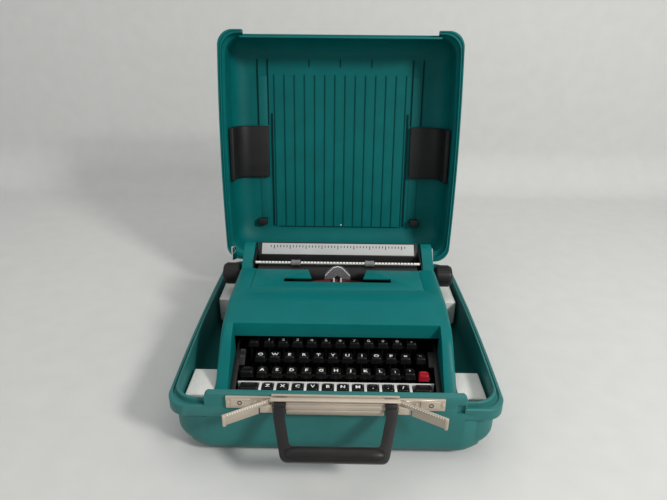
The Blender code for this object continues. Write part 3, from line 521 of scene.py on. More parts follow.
# --- Repeats, by Geometry Nodes -----------------------------------------------------------------
class Repeat:
    """A template shape set out along a line or round a ring by a node tree."""

    def __init__(self, name: str, template: bmesh.types.BMesh, finish: Finish) -> None:
        """Keep the template, modelled at the origin in mm.

        Args:
            name: Name of the finished piece.
            template: The shape that repeats.
            finish: Its finish.
        """
        self.name = name
        self.finish = finish
        self.template = raw_object(f"{name}_template", template)

    def _tree(self, sockets: dict[str, tuple[str, Any]]) -> tuple[Any, Any]:
        """A new tree with named inputs and a group input node."""
        tree = bpy.data.node_groups.new(f"{self.name}_tree", "GeometryNodeTree")
        tree.interface.new_socket("Geometry", in_out="INPUT", socket_type="NodeSocketGeometry")
        for label, (kind, value) in sockets.items():
            socket = tree.interface.new_socket(label, in_out="INPUT", socket_type=kind)
            socket.default_value = value
        tree.interface.new_socket("Geometry", in_out="OUTPUT", socket_type="NodeSocketGeometry")
        return tree, tree.nodes.new("NodeGroupInput")

    def _ends(self, tree: Any, points: Any, rotation: Any = None) -> None:
        """Instance the template on points, realise it and give it its finish."""
        info = tree.nodes.new("GeometryNodeObjectInfo")
        info.inputs["Object"].default_value = self.template
        place = tree.nodes.new("GeometryNodeInstanceOnPoints")
        real = tree.nodes.new("GeometryNodeRealizeInstances")
        paint = tree.nodes.new("GeometryNodeSetMaterial")
        paint.inputs["Material"].default_value = self.finish.material()
        out = tree.nodes.new("NodeGroupOutput")
        tree.links.new(points, place.inputs["Points"])
        tree.links.new(info.outputs["Geometry"], place.inputs["Instance"])
        if rotation is not None:
            tree.links.new(rotation, place.inputs["Rotation"])
        tree.links.new(place.outputs["Instances"], real.inputs["Geometry"])
        tree.links.new(real.outputs["Geometry"], paint.inputs["Geometry"])
        tree.links.new(paint.outputs["Geometry"], out.inputs["Geometry"])

    def _maths(self, tree: Any, operation: str, first: Any, second: Any) -> Any:
        """The result of a maths node on a socket and a second socket or a number."""
        node = tree.nodes.new("ShaderNodeMath")
        node.operation = operation
        tree.links.new(first, node.inputs[0])
        if isinstance(second, float):
            node.inputs[1].default_value = second
        else:
            tree.links.new(second, node.inputs[1])
        return node.outputs["Value"]

    def _run(self, tree: Any, values: dict[str, Any]) -> bpy.types.Object:
        """Apply the tree to a fresh object and drop the template."""
        obj = bpy.data.objects.new(self.name, bpy.data.meshes.new(self.name))
        bpy.context.scene.collection.objects.link(obj)
        modifier = obj.modifiers.new("Repeat", "NODES")
        modifier.node_group = tree
        for item in tree.interface.items_tree:
            if item.in_out == "INPUT" and item.name in values:
                modifier[item.identifier] = values[item.name]
        evaluate(obj)
        bpy.data.objects.remove(self.template)
        return obj

    def in_line(self, start: Point3, step: Point3, count: int) -> bpy.types.Object:
        """Copies along a straight line.

        Args:
            start: First place, in mm.
            step: From one copy to the next, in mm.
            count: How many.

        Returns:
            The finished piece.
        """
        sockets = {
            "Count": ("NodeSocketInt", count),
            "Start": ("NodeSocketVector", tuple(v * MM for v in start)),
            "Step": ("NodeSocketVector", tuple(v * MM for v in step)),
        }
        tree, inputs = self._tree(sockets)
        line = tree.nodes.new("GeometryNodeMeshLine")
        tree.links.new(inputs.outputs["Count"], line.inputs["Count"])
        tree.links.new(inputs.outputs["Start"], line.inputs["Start Location"])
        tree.links.new(inputs.outputs["Step"], line.inputs["Offset"])
        self._ends(tree, line.outputs["Mesh"])
        return self._run(tree, {label: value for label, (_, value) in sockets.items()})

    def round_axis_x(self, centre: Point3, radius: float, count: int) -> bpy.types.Object:
        """Copies round an axis along X, each turned to face outwards.

        Args:
            centre: Centre of the ring, in mm.
            radius: Its radius, in mm.
            count: How many.

        Returns:
            The finished piece.
        """
        sockets = {
            "Count": ("NodeSocketInt", count),
            "Centre": ("NodeSocketVector", tuple(v * MM for v in centre)),
            "Radius": ("NodeSocketFloat", radius * MM),
        }
        tree, inputs = self._tree(sockets)
        ring = tree.nodes.new("GeometryNodeMeshCircle")
        tree.links.new(inputs.outputs["Count"], ring.inputs["Vertices"])
        tree.links.new(inputs.outputs["Radius"], ring.inputs["Radius"])
        stand = tree.nodes.new("GeometryNodeTransform")
        stand.inputs["Rotation"].default_value = (0.0, math.pi / 2, 0.0)
        tree.links.new(ring.outputs["Mesh"], stand.inputs["Geometry"])
        tree.links.new(inputs.outputs["Centre"], stand.inputs["Translation"])
        index = tree.nodes.new("GeometryNodeInputIndex")
        share = self._maths(tree, "DIVIDE", index.outputs["Index"], inputs.outputs["Count"])
        angle = self._maths(tree, "MULTIPLY", share, 2 * math.pi)
        outwards = self._maths(tree, "ADD", angle, math.pi)
        turn = tree.nodes.new("ShaderNodeCombineXYZ")
        tree.links.new(outwards, turn.inputs["X"])
        self._ends(tree, stand.outputs["Geometry"], turn.outputs["Vector"])
        return self._run(tree, {label: value for label, (_, value) in sockets.items()})


# --- Shared bench -------------------------------------------------------------------------------
@dataclass
class Bench:
    """Dresses pieces and ties each to its body, counting them as it goes."""

    frame: dict[str, Any]
    count: int = 0

    def put(
        self,
        obj: bpy.types.Object,
        body: str,
        finish: Finish,
        slot: str,
        replaces: Sequence[str] = (),
        smooth: float = 38.0,
    ) -> bpy.types.Object:
        """Finish a piece: material, shading and body.

        Args:
            obj: The piece, in place.
            body: CAD body that it moves with.
            finish: Its finish.
            slot: The record's material slot; not used.
            replaces: CAD nodes that it stands for.
            smooth: Edges under this many degrees are shaded smooth.

        Returns:
            The piece.
        """
        obj.data.materials.clear()
        obj.data.materials.append(finish.material())
        obj.data.shade_smooth()
        obj.data.set_sharp_from_angle(angle=math.radians(smooth))
        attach(obj, body)
        if replaces:
            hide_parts(*replaces)
        self.count += 1
        LOG.info("%s on %s, %d faces", obj.name, body, len(obj.data.polygons))
        return obj

    def body(self, node: str) -> str:
        """The body that a CAD node rides on."""
        return body_of(self.frame["nodes"][node])[0]

    def make(
        self, name: str, mesh: bmesh.types.BMesh, body: str, finish: Finish, slot: str, **more: Any
    ) -> bpy.types.Object:
        """Turn a mesh in mm into a finished piece; bevel=(width, segments) rounds its edges first."""
        bevel = more.pop("bevel", None)
        obj = raw_object(name, mesh)
        if bevel:
            edge_softened(obj, *bevel)
        return self.put(obj, body, finish, slot, **more)

    def from_node(
        self, node: str, name: str, body: str, finish: Finish, slot: str,
        bevel: tuple[float, int] = (0.5, 2),
    ) -> bpy.types.Object:
        """A finer copy of a CAD node: its loose triangles merged, its flats joined and its edges rounded.

        Args:
            node: The CAD node.
            name: Name of the piece.
            body: CAD body that it moves with.
            finish: Its finish.
            slot: The record's material slot.
            bevel: Width in mm and segments of the rounding.

        Returns:
            The piece, which replaces the node.
        """
        mesh = bmesh.new()
        mesh.from_mesh(self.frame["nodes"][node].data)
        bmesh.ops.remove_doubles(mesh, verts=mesh.verts, dist=0.002 * MM)
        bmesh.ops.dissolve_limit(mesh, angle_limit=math.radians(0.6), verts=mesh.verts, edges=mesh.edges)
        obj = linked(name, mesh)
        edge_softened(obj, *bevel)
        return self.put(obj, body, finish, slot, replaces=[node])

    def paint_node(self, node: str, finish: Finish) -> None:
        """Give a CAD node that stays as it is its finish."""
        for slot in self.frame["nodes"][node].material_slots:
            slot.material = finish.material()
        LOG.info("%s keeps its CAD shape", node)


# --- Carrying case ------------------------------------------------------------------------------
@dataclass
class CaseForm:
    """Sizes that the base and the lid share."""

    width: float = 400.0
    depth: float = 383.0
    rim: float = 78.0
    lid_depth: float = 87.0
    bow: float = 4.0
    corner: float = 24.0
    wall: float = 3.0
    band: float = 5.8
    band_drop: float = 16.0
    under_round: float = 35.0
    open_angle: float = 96.8
    corner_steps: int = 12
    round_steps: int = 12

    @property
    def front(self) -> float:
        """Front face of the rim."""
        return -self.depth / 2

    @property
    def lid_rim(self) -> float:
        """Edge of the lid, a hair above the base's rim when the case is shut."""
        return self.rim + 0.4

    @property
    def hinge_y(self) -> float:
        """Hinge axis, behind the rim."""
        return self.depth / 2 + 2.9

    def outline(self, inset: float, z: float) -> list[Point3]:
        """One ring of the case's plan.

        Args:
            inset: Distance inside the rim, in mm.
            z: Height.

        Returns:
            Points round the plan, with rounded corners and bowed sides.
        """
        half_x, half_y = self.width / 2 - inset, self.depth / 2 - inset
        radius = self.corner + 0.55 * inset

        def on_corner(quarter: int, turn: float) -> Point2:
            """A point of one corner's arc, turn being its angle in quarter turns."""
            sx, sy = ((1, 1), (-1, 1), (-1, -1), (1, -1))[quarter % 4]
            angle = math.pi / 2 * turn
            return (
                sx * (half_x - radius) + radius * math.cos(angle),
                sy * (half_y - radius) + radius * math.sin(angle),
            )

        ring: list[Point2] = []
        for quarter in range(4):
            for i in range(self.corner_steps + 1):
                ring.append(on_corner(quarter, quarter + i / self.corner_steps))
            start, end = Vector(ring[-1]), Vector(on_corner(quarter + 1, quarter + 1))
            ring += [tuple(start.lerp(end, k / 8)) for k in range(1, 8)]
        return [
            (x - math.copysign(self.bow, x) * (y / half_y) ** 2 if abs(x) > half_x * 0.6 else x, y, z)
            for x, y in ring
        ]

    def outer(self, depth: float, up: int) -> list[list[Point3]]:
        """Outside rings from the closed face to the rim; up is 1 for the base and -1 for the lid."""
        rim = self.rim if up > 0 else self.lid_rim
        rings = []
        for i in range(self.round_steps + 1):
            angle = math.pi / 2 * i / self.round_steps
            inset = self.band + self.under_round * (1 - math.sin(angle))
            rings.append(
                self.outline(inset, rim - up * (depth - self.under_round * (1 - math.cos(angle))))
            )
        for inset, drop in (
            (self.band, self.band_drop + 1.0), (self.band - 0.6, self.band_drop),
            (0.8, self.band_drop - 0.5), (0.0, self.band_drop - 1.4), (0.0, 0.9), (0.9, 0.0),
        ):
            rings.append(self.outline(inset, rim - up * drop))
        return rings

    def inner(self, depth: float, inset: float, up: int) -> list[list[Point3]]:
        """Inside rings from the band down to the floor."""
        rim = self.rim if up > 0 else self.lid_rim
        rings = [self.outline(inset, rim - up * self.band_drop)]
        round_in = self.under_round - self.wall
        for i in range(self.round_steps, -1, -1):
            angle = math.pi / 2 * i / self.round_steps
            deep = rim - up * (depth - self.wall - round_in * (1 - math.cos(angle)))
            rings.append(self.outline(inset + round_in * (1 - math.sin(angle)), deep))
        return rings

    def knuckles(self, spans: Iterable[Span], radius: float) -> list[bmesh.types.BMesh]:
        """Hinge barrels, or cutters for them, on both sides."""
        return [
            turned((self.hinge_y, self.rim), [(s * a, radius), (s * b, radius)], "X", 24)
            for s in (-1, 1)
            for a, b in spans
        ]


@dataclass
class CaseBase:
    """The lower shell with its raised front wall, tongue, foam blocks and hinge."""

    form: CaseForm
    bench: Bench
    wall_half: float = 149.5
    wall_top: float = 94.5
    skirt_top: float = 61.5
    front_round: float = 30.0

    @property
    def face(self) -> float:
        """Front face of the raised wall and of the skirts beside it."""
        return self.form.front + 0.2

    def build(self) -> None:
        """Make every piece of the base."""
        self.shell()
        self.foam()
        self.hinge()

    def shell(self) -> None:
        """The moulded shell."""
        form = self.form
        rings = form.outer(form.rim, 1)
        for inset, z in (
            (3.6, 0.0), (4.2, -2.0), (6.2, -2.0), (6.7, 0.6), (6.9, 4.4), (7.4, 5.0), (8.8, 5.0),
            (9.3, 4.4),
        ):
            rings.append(form.outline(inset, form.rim + z))
        rings += form.inner(form.rim, 9.4, 1)
        shell = raw_object("case_base", loft(rings))
        combine(shell, "DIFFERENCE", *form.knuckles([(122.6, 137.4)], 5.3))
        combine(
            shell,
            "UNION",
            self.wall(),
            self.skirt(-1),
            self.skirt(1),
            *form.knuckles([(110.0, 122.0), (138.0, 150.0)], 4.5),
        )
        pocket = slab((139.0, 148.0), (form.front - 1.0, form.front + 3.5), (72.0, 84.0))
        combine(shell, "DIFFERENCE", pocket, *form.knuckles([(108.0, 152.0)], 2.2))
        edge_softened(shell, 0.7, 2, 42.0)
        self.bench.put(shell, "case", CASE_TEAL, "case_plastic", ["base_shell"], 34.0)

    def wall(self) -> bmesh.types.BMesh:
        """The front's flush middle, upright to its top and rounded under into the floor.

        Returns:
            Its mesh, with clipped top corners.
        """
        form, top = self.form, self.wall_top
        radius, reach = self.front_round, form.under_round - 1.5
        outer = [
            (self.face + radius * (1 - math.cos(a)), radius * (1 - math.sin(a))) for a in QUARTER_TURN
        ]
        inner = [
            (form.front + 8.0 + reach * (1 - math.cos(a)), 1.5 + reach * (1 - math.sin(a)))
            for a in QUARTER_TURN
        ]
        back = form.front + 9.0
        rings = []
        for x, drop in (
            (-self.wall_half, 3.0), (3.0 - self.wall_half, 0.0), (self.wall_half - 3.0, 0.0),
            (self.wall_half, 3.0),
        ):
            ring = [(self.face, top - drop), *outer, *reversed(inner), (back, 40.0), (back, top - drop)]
            rings.append([(x, y, z) for y, z in ring])
        return loft(rings)

    def skirt(self, side: int) -> bmesh.types.BMesh:
        """The ramp below the band that fades the flush middle into the corner.

        Args:
            side: -1 for the left end and 1 for the right.

        Returns:
            Its mesh.
        """
        form, rings = self.form, []
        for x, back, lift in (
            (140.0, 0.05, 0.05), (149.6, 0.05, 0.05), (156.0, 1.6, 0.2), (163.0, 4.6, 0.7),
            (172.0, 9.5, 1.2),
        ):
            ring = [(self.face + back, self.skirt_top)]
            for angle in QUARTER_TURN:
                ring.append(
                    (
                        self.face + back + self.front_round * (1 - math.cos(angle)),
                        lift + self.front_round * (1 - math.sin(angle)),
                    )
                )
            ring += [
                (form.front + 40.0, 1.3 + lift), (form.front + 22.0, 8.0), (form.front + 12.5, 20.0),
                (form.front + 11.0, self.skirt_top),
            ]
            rings.append([(side * x, y, z) for y, z in ring])
        return loft(rings)

    def foam(self) -> None:
        """Moulded bead-foam blocks that steady the machine, with soft worn edges."""
        for node in ("foam_front_left", "foam_front_right", "foam_rear_left", "foam_rear_right"):
            self.bench.from_node(node, f"{node}_block", "case", POLY_FOAM, "foam", (2.4, 4))

    def hinge(self) -> None:
        """Hinge pins with domed ends."""
        form = self.form
        for node, s in (("hinge_pin_left", -1), ("hinge_pin_right", 1)):
            profile = [(109.5, 1.4), (110.1, 2.0), (149.9, 2.0), (150.5, 1.4)]
            pin = turned((form.hinge_y, form.rim), [(s * x, r) for x, r in profile], "X", 24)
            self.bench.make(f"{node}_rod", pin, "case", DARK_STEEL_AND_HOLE_SHADE, "steel", replaces=[node])


@dataclass
class Lid:
    """The upper shell, standing open, with its ribs, pads and buffers."""

    form: CaseForm
    bench: Bench
    rib_half: float = 117.0
    rib_count: int = 14
    notch_half: float = 157.5
    notch_top: float = 98.0

    @property
    def ceiling(self) -> float:
        """Inner face of the lid's top when closed."""
        return self.form.lid_rim + self.form.lid_depth - self.form.wall

    def open(self, obj: bpy.types.Object) -> bpy.types.Object:
        """Swing a piece modelled closed to where it stands."""
        return turned_about(obj, (0.0, self.form.hinge_y, self.form.rim), "X", -self.form.open_angle)

    def build(self) -> None:
        """Make every piece of the lid."""
        self.shell()
        self.ribs()
        self.pads()

    def shell(self) -> None:
        """The moulded shell, notched for the base's raised wall."""
        form = self.form
        rim = form.lid_rim
        rings = form.outer(form.lid_depth - 0.3, -1)
        for inset, z in ((2.2, 0.0), (2.6, 1.6), (3.6, 1.6), (4.0, 0.0), (5.4, 0.0)):
            rings.append(form.outline(inset, rim + z))
        rings.append(form.outline(5.4, rim + form.band_drop - 5.0))
        rings += form.inner(form.lid_depth, form.band + form.wall, -1)
        shell = raw_object("case_lid", loft(rings))
        half, top = self.notch_half, self.notch_top
        notch = along_axis(
            rounded(
                [(-half, rim - 5.0), (half, rim - 5.0), (half, top), (-half, top)], [0.0, 0.0, 2.0, 2.0]
            ),
            (form.front - 5.0, form.front + 14.0),
            "Y",
        )
        apron = [
            (form.front + 9.9, rim), (form.front + 12.3, rim), (form.front + 12.3, top + 5.0),
            (form.front + 7.0, top + 5.0), (form.front + 7.0, top + 0.1), (form.front + 9.9, top + 0.1),
        ]
        combine(shell, "DIFFERENCE", notch, *form.knuckles([(109.5, 122.5), (137.5, 150.5)], 5.3))
        combine(
            shell, "UNION", along_axis(apron, (-half - 3.0, half + 3.0), "X"),
            *form.knuckles([(123.0, 137.0)], 4.5),
        )
        combine(shell, "DIFFERENCE", *form.knuckles([(122.0, 138.0)], 2.2))
        edge_softened(shell, 0.7, 2, 42.0)
        self.open(shell)
        self.bench.put(shell, "lid", LID_TEAL, "case_plastic", ["lid_shell"], 34.0)

    def ribs(self) -> None:
        """Long moulded ribs across the lid's inside, and the raised ledges beside them."""
        y0, y1, top = self.form.hinge_y - 318.0, self.form.hinge_y - 42.0, self.ceiling
        profile = [(-1.0, 1.0), (-0.9, -0.9), (-0.4, -1.6), (0.4, -1.6), (0.9, -0.9), (1.0, 1.0)]
        template = along_axis(profile, (y0, y0 + 1.2, y1 - 1.2, y1), "Y")
        step = 2 * self.rib_half / (self.rib_count - 1)
        # The ribs carry a darker teal as painted shade.
        ribs = Repeat("lid_ribs", template, LID_RIB_PAINTED_SHADE).in_line(
            (-self.rib_half, 0.0, top), (step, 0.0, 0.0), self.rib_count
        )
        self.bench.put(self.open(ribs), "lid", LID_RIB_PAINTED_SHADE, "case_plastic")
        self.shade_strips()
        for side, s in SIDES:
            ledge = slab((s * 129.0, s * 145.0), (y0 + 2.0, y1 - 18.0), (top - 1.0, top + 1.0))
            obj = edge_softened(raw_object(f"lid_ledge_{side}", ledge), 0.6, 2)
            self.bench.put(self.open(obj), "lid", LID_TEAL, "case_plastic")

    def shade_strips(self) -> None:
        """Strips of painted shade, standing in for the shaded grooves and edges of the lid's inside: long
        ones beside the ribs, short ones at the far end and a double line by the hinge.
        """
        top, hinge = self.ceiling, self.form.hinge_y
        lines = [
            slab((s * near, s * far), (hinge - back, hinge - front), (top - deep, top + 1.0))
            for near, far, back, front, deep in (
                (120.4, 123.4, 252.0, 44.0, 1.3),
                (127.0, 129.0, 344.0, 232.0, 1.5),
                (145.0, 147.0, 344.0, 232.0, 1.5),
            )
            for s in (-1, 1)
        ]
        lines += [
            slab((x - 0.9, x + 0.9), (hinge - 344.5, hinge - 331.0), (top - 0.5, top + 1.0))
            for x in (-55.0, 0.0, 55.0)
        ]
        lines.append(slab((-113.0, 113.0), (hinge - 43.5, hinge - 41.9), (top - 0.7, top + 1.0)))
        # These strips are painted shade, not moulded parts.
        obj = raw_object("lid_channels", merged(*lines))
        self.bench.put(self.open(obj), "lid", LID_STRIP_PAINTED_SHADE, "case_plastic")
        dot = turned((5.0, hinge - 46.5), [(top - 1.2, 0.3), (top - 0.9, 1.2), (top + 0.6, 1.3)], "Z", 16)
        self.bench.put(self.open(raw_object("lid_stud", dot)), "lid", LEGEND_AND_HIGHLIGHT_WHITE, "case_plastic")

    def pads(self) -> None:
        """Rubber pads down the side walls, and buffers near the hinge."""
        for node in ("lid_pad_left", "lid_pad_right"):
            self.bench.from_node(node, f"{node}_rubber", "lid", PAD_RUBBER, "foot_rubber", (1.8, 3))
        for node in ("lid_buffer_left", "lid_buffer_right"):
            self.bench.from_node(node, f"{node}_rubber", "lid", PAD_RUBBER, "foot_rubber", (1.6, 3))


@dataclass
class FrontHardware:
    """Latch rail, ridged beam, latch levers and folding handle."""

    form: CaseForm
    bench: Bench
    reach: float = 52.0
    handle_z: float = 90.0
    splay: float = 30.0
    handle_swing: float = 55.0

    @property
    def pivot_y(self) -> float:
        """Axis that the handle swings on."""
        return self.form.front - 10.5

    def build(self) -> None:
        """Make every piece of the front hardware."""
        self.rail()
        self.beam()
        self.latches()
        self.handle()

    def rail(self) -> None:
        """The pressed rail on the raised wall, with its rivets, and dark discs of painted shade where its
        two holes are.
        """
        rail = self.bench.from_node(
            "latch_rail", "latch_rail_pressing", "case", NICKEL, "nickel", (0.6, 2)
        )
        front = self.form.front
        combine(
            rail,
            "DIFFERENCE",
            slab((-80.0, 80.0), (front - 0.25, front + 20.0), (94.6, 110.0)),
            slab((-80.0, 80.0), (front - 9.0, front), (96.6, 110.0)),
        )
        y = self.form.front - 3.3
        middle = 86.5
        for side, x in (("left", -121.2), ("right", 91.0)):
            head = turned((0.0, 0.0), [(0.4, 2.3), (-0.5, 2.3), (-1.0, 1.5), (-1.2, 0.5)], "Y", 20)
            rivets = Repeat(f"rail_rivets_{side}", head, NICKEL)
            rivets = rivets.in_line((x, y, middle), (30.2, 0.0, 0.0), 2)
            self.bench.put(rivets, "case", NICKEL, "nickel")
        # Painted shade: solid dark discs stand in for the shade inside the rail's two holes.
        for side, s in SIDES:
            shaded_hole_disc = turned(
                (s * 108.0, middle),
                [(y - 0.9, 2.6), (y - 1.5, 2.6), (y - 1.5, 1.9), (y - 1.0, 1.7)],
                "Y",
                24,
            )
            self.bench.make(f"rail_eyelet_{side}", shaded_hole_disc, "case", DARK_STEEL_AND_HOLE_SHADE, "steel")

    def beam(self) -> None:
        """The bowed beam between the handle's arms, with moulded ridges along it."""
        front, rows = self.form.front, []
        for i in range(61):
            share = i / 60
            bulge = 9.6 * math.sin(math.pi * (0.05 + 0.88 * share)) ** 0.55
            groove = 1.0 * max(math.exp(-(((share - at) / 0.035) ** 2)) for at in (0.52, 0.80))
            rows.append((front - 3.8 - bulge + groove, 73.8 + 21.0 * share))
        profile = rows + [(front - 3.6, 94.8), (front - 3.6, 73.8)]
        beam = along_axis(profile, (-54.5, -54.0, 54.0, 54.5), "X")
        self.bench.make(
            "handle_beam_cover", beam, "case", NICKEL, "nickel", replaces=["handle_beam"], smooth=50.0
        )

    def latches(self) -> None:
        """Pressed latch levers, with a row of small bumps along each top edge, coloured white as a painted
        highlight.
        """
        y = self.pivot_y + 4.0
        for node, s in (("latch_left", -1), ("latch_right", 1)):
            self.bench.from_node(node, f"{node}_lever", node, NICKEL, "nickel", (0.5, 2))
            # The bumps are real knurling, but their white is a painted highlight along the nickel edge.
            pip = turned((0.0, 0.0), [(0.3, 0.75), (-0.25, 0.7), (-0.5, 0.3)], "Y", 10)
            highlight_pips = Repeat(f"{node}_pips", pip, LEGEND_AND_HIGHLIGHT_WHITE).in_line(
                (s * 74.0, y - 1.0, 93.9), (s * 2.9, 0.0, 0.0), 19
            )
            turned_about(highlight_pips, (s * 71.0, y, 0.0), "Z", -s * self.splay)
            self.bench.put(highlight_pips, node, LEGEND_AND_HIGHLIGHT_WHITE, "nickel")

    def handle(self) -> None:
        """The moulded handle: flat tapering arms into a thick rounded grip."""
        z, y, reach = self.handle_z, self.pivot_y, self.reach
        outer = [(68.0, z + 5.6), (68.0, z - 14.0), (57.0, z - reach - 8.5)]
        inner = [(48.5, z - reach + 7.5), (56.0, z - 12.0), (56.0, z + 5.6)]
        corners = [*outer, *mirrored(outer), *mirrored(inner), *inner]
        radii = [5.0, 20.0, 9.0, 9.0, 20.0, 5.0, 5.0, 16.0, 6.0, 6.0, 16.0, 5.0]
        bow = raw_object("carry_handle", along_axis(rounded(corners, radii, 8), (y - 4.0, y + 4.0), "Y"))
        grip = turned(
            (y, z - reach),
            [
                (-54.0, 3.6), (-52.0, 5.6), (-46.0, 7.4), (-38.0, 7.8), (38.0, 7.8), (46.0, 7.4),
                (52.0, 5.6), (54.0, 3.6),
            ],
            "X",
            40,
        )
        hubs = [turned((y, z), [(s * 56.0, 6.2), (s * 68.0, 6.2)], "X", 32) for s in (-1, 1)]
        combine(bow, "UNION", grip, *hubs)
        edge_softened(bow, 1.5, 3, 40.0)
        turned_about(bow, (0.0, y, z), "X", -self.handle_swing)
        self.bench.put(bow, "handle", MOULDED_BLACK, "black_plastic", ["handle"], 40.0)
        for side, s in SIDES:
            stud = turned((y, z), [(s * 67.5, 3.2), (s * 68.2, 3.2), (s * 68.35, 2.4)], "X", 20)
            obj = raw_object(f"handle_stud_{side}", stud)
            turned_about(obj, (0.0, y, z), "X", -self.handle_swing)
            self.bench.put(obj, "handle", NICKEL, "nickel")


# --- Typewriter ---------------------------------------------------------------------------------
@dataclass
class MachineBody:
    """The one-piece upper shell and the ribbon cover let into it."""

    bench: Bench
    half: float = 149.0
    arm: float = 15.0
    skin: float = 2.5
    side_round: float = 7.0
    front: float = -168.0
    brow: float = -80.0
    rear: float = 166.0
    valley: float = 61.0
    valley_z: float = 86.0
    top: float = 130.0
    foot: float = 11.1

    @property
    def well(self) -> float:
        """Half width of the keyboard well."""
        return self.half - self.arm

    def build(self) -> None:
        """Make the shell and its cover."""
        self.shell()
        self.cover()

    def profile(self) -> list[Point2]:
        """Side view of the outside, with each bend rounded."""
        corners = [
            (self.front, self.foot), (self.front, 40.0), (-160.0, 48.0), (-141.5, 63.0), (-124.0, 80.0),
            (-99.0, 108.0), (self.brow, self.top - 10.0), (-35.0, self.top - 0.8), (-25.0, self.top),
            (self.valley, self.top), (self.valley, self.valley_z), (150.0, self.valley_z),
            (self.rear, self.valley_z - 8.0), (self.rear, self.foot),
        ]
        radii = [0.0, 14.0, 40.0, 60.0, 60.0, 40.0, 11.0, 40.0, 40.0, 2.4, 2.0, 8.0, 6.0, 0.0]
        return rounded(corners, radii, 5)

    def shell(self) -> None:
        """The shell: a rounded loft, hollowed and cut for the keyboard, ribbon and carriage."""
        half, bend = self.half, self.side_round
        arc = [math.radians(90.0 - 15.0 * i) for i in range(7)]
        stations = [(half - bend * (1 - math.sin(a)), bend * (1 - math.cos(a))) for a in arc]
        places = [(-x, d) for x, d in stations] + [(x, d) for x, d in reversed(stations)]
        rings = []
        for x, drop in places:
            ring = []
            for y, z in self.profile():
                share = 0.25 + 0.75 * min(1.0, max(0.0, (z - 80.0) / 28.0))
                ring.append((x, y, z if z < self.foot + 1.0 else z - drop * share))
            rings.append(ring)
        shell = raw_object("machine_shell", loft(rings))
        top, skin = self.top, self.skin
        hollow = [
            (self.brow + skin, -50.0), (self.brow + skin, top - 12.6), (-35.0, top - 3.3),
            (-25.0, top - skin), (self.valley - skin - 3.0, top - skin), (self.valley - skin, top - 5.5),
            (self.valley - skin, self.valley_z - skin), (150.0, self.valley_z - skin),
            (self.rear - skin, self.valley_z - 10.5), (self.rear - skin, -50.0),
        ]
        chamber = []
        for x, drop in (
            (-half + skin, 7.4), (-half + 9.0, 0.6), (half - 9.0, 0.6), (half - skin, 7.4)
        ):
            chamber.append(
                [(x, y, z if z < 0 else z - drop * (1.0 if z > 110.0 else 0.25)) for y, z in hollow]
            )
        arm = [
            (self.front + skin, -50.0), (self.front + skin, 36.0), (-157.0, 42.5), (-138.5, 57.5),
            (-121.0, 74.5), (-97.0, 101.5), (self.brow + skin + 1.0, 108.0),
            (self.brow + skin + 1.0, -50.0),
        ]
        arms = [along_axis(arm, (s * (self.well + skin), s * (half - skin)), "X") for s in (-1, 1)]
        combine(
            shell,
            "DIFFERENCE",
            loft(chamber),
            *arms,
            slab((-self.well, self.well), (self.front + skin + 1.0, self.brow), (-50.0, 220.0)),
            slab((-self.well, self.well), (self.brow - 2.0, self.brow + 6.0), (-50.0, 100.0)),
            slab((-122.0, 122.0), (-1.0, self.valley + 4.0), (top - 20.0, top + 20.0)),
            slab((-123.5, 123.5), (-4.0, self.valley + 4.0), (top - 2.9, top + 20.0)),
            slab((-138.0, 138.0), (self.valley - 10.0, 142.0), (70.0, top - 8.0)),
        )
        edge_softened(shell, 0.9, 3, 45.0)
        self.bench.put(shell, "case", BODY_TEAL, "body_plastic", ["body_shell"], 42.0)

    def cover(self) -> None:
        """The ribbon cover, with its slot and flared window."""
        top = self.top
        cover = raw_object(
            "ribbon_cover_panel", slab((-123.0, 123.0), (-3.6, self.valley - 3.0), (top - 2.5, top))
        )
        flare = along_axis(
            [(-38.0, 30.0), (-46.0, self.valley + 5.0), (46.0, self.valley + 5.0), (38.0, 30.0)],
            (top - 10.0, top + 10.0),
            "Z",
        )
        slot = along_axis(
            rounded([(-78.0, 18.0), (78.0, 18.0), (78.0, 31.0), (-78.0, 31.0)], 1.5, 3),
            (top - 10.0, top + 10.0),
            "Z",
        )
        combine(cover, "DIFFERENCE", flare, slot)
        edge_softened(cover, 0.7, 3)
        self.bench.put(cover, "ribbon_cover", BODY_TEAL, "body_plastic", ["ribbon_cover"])


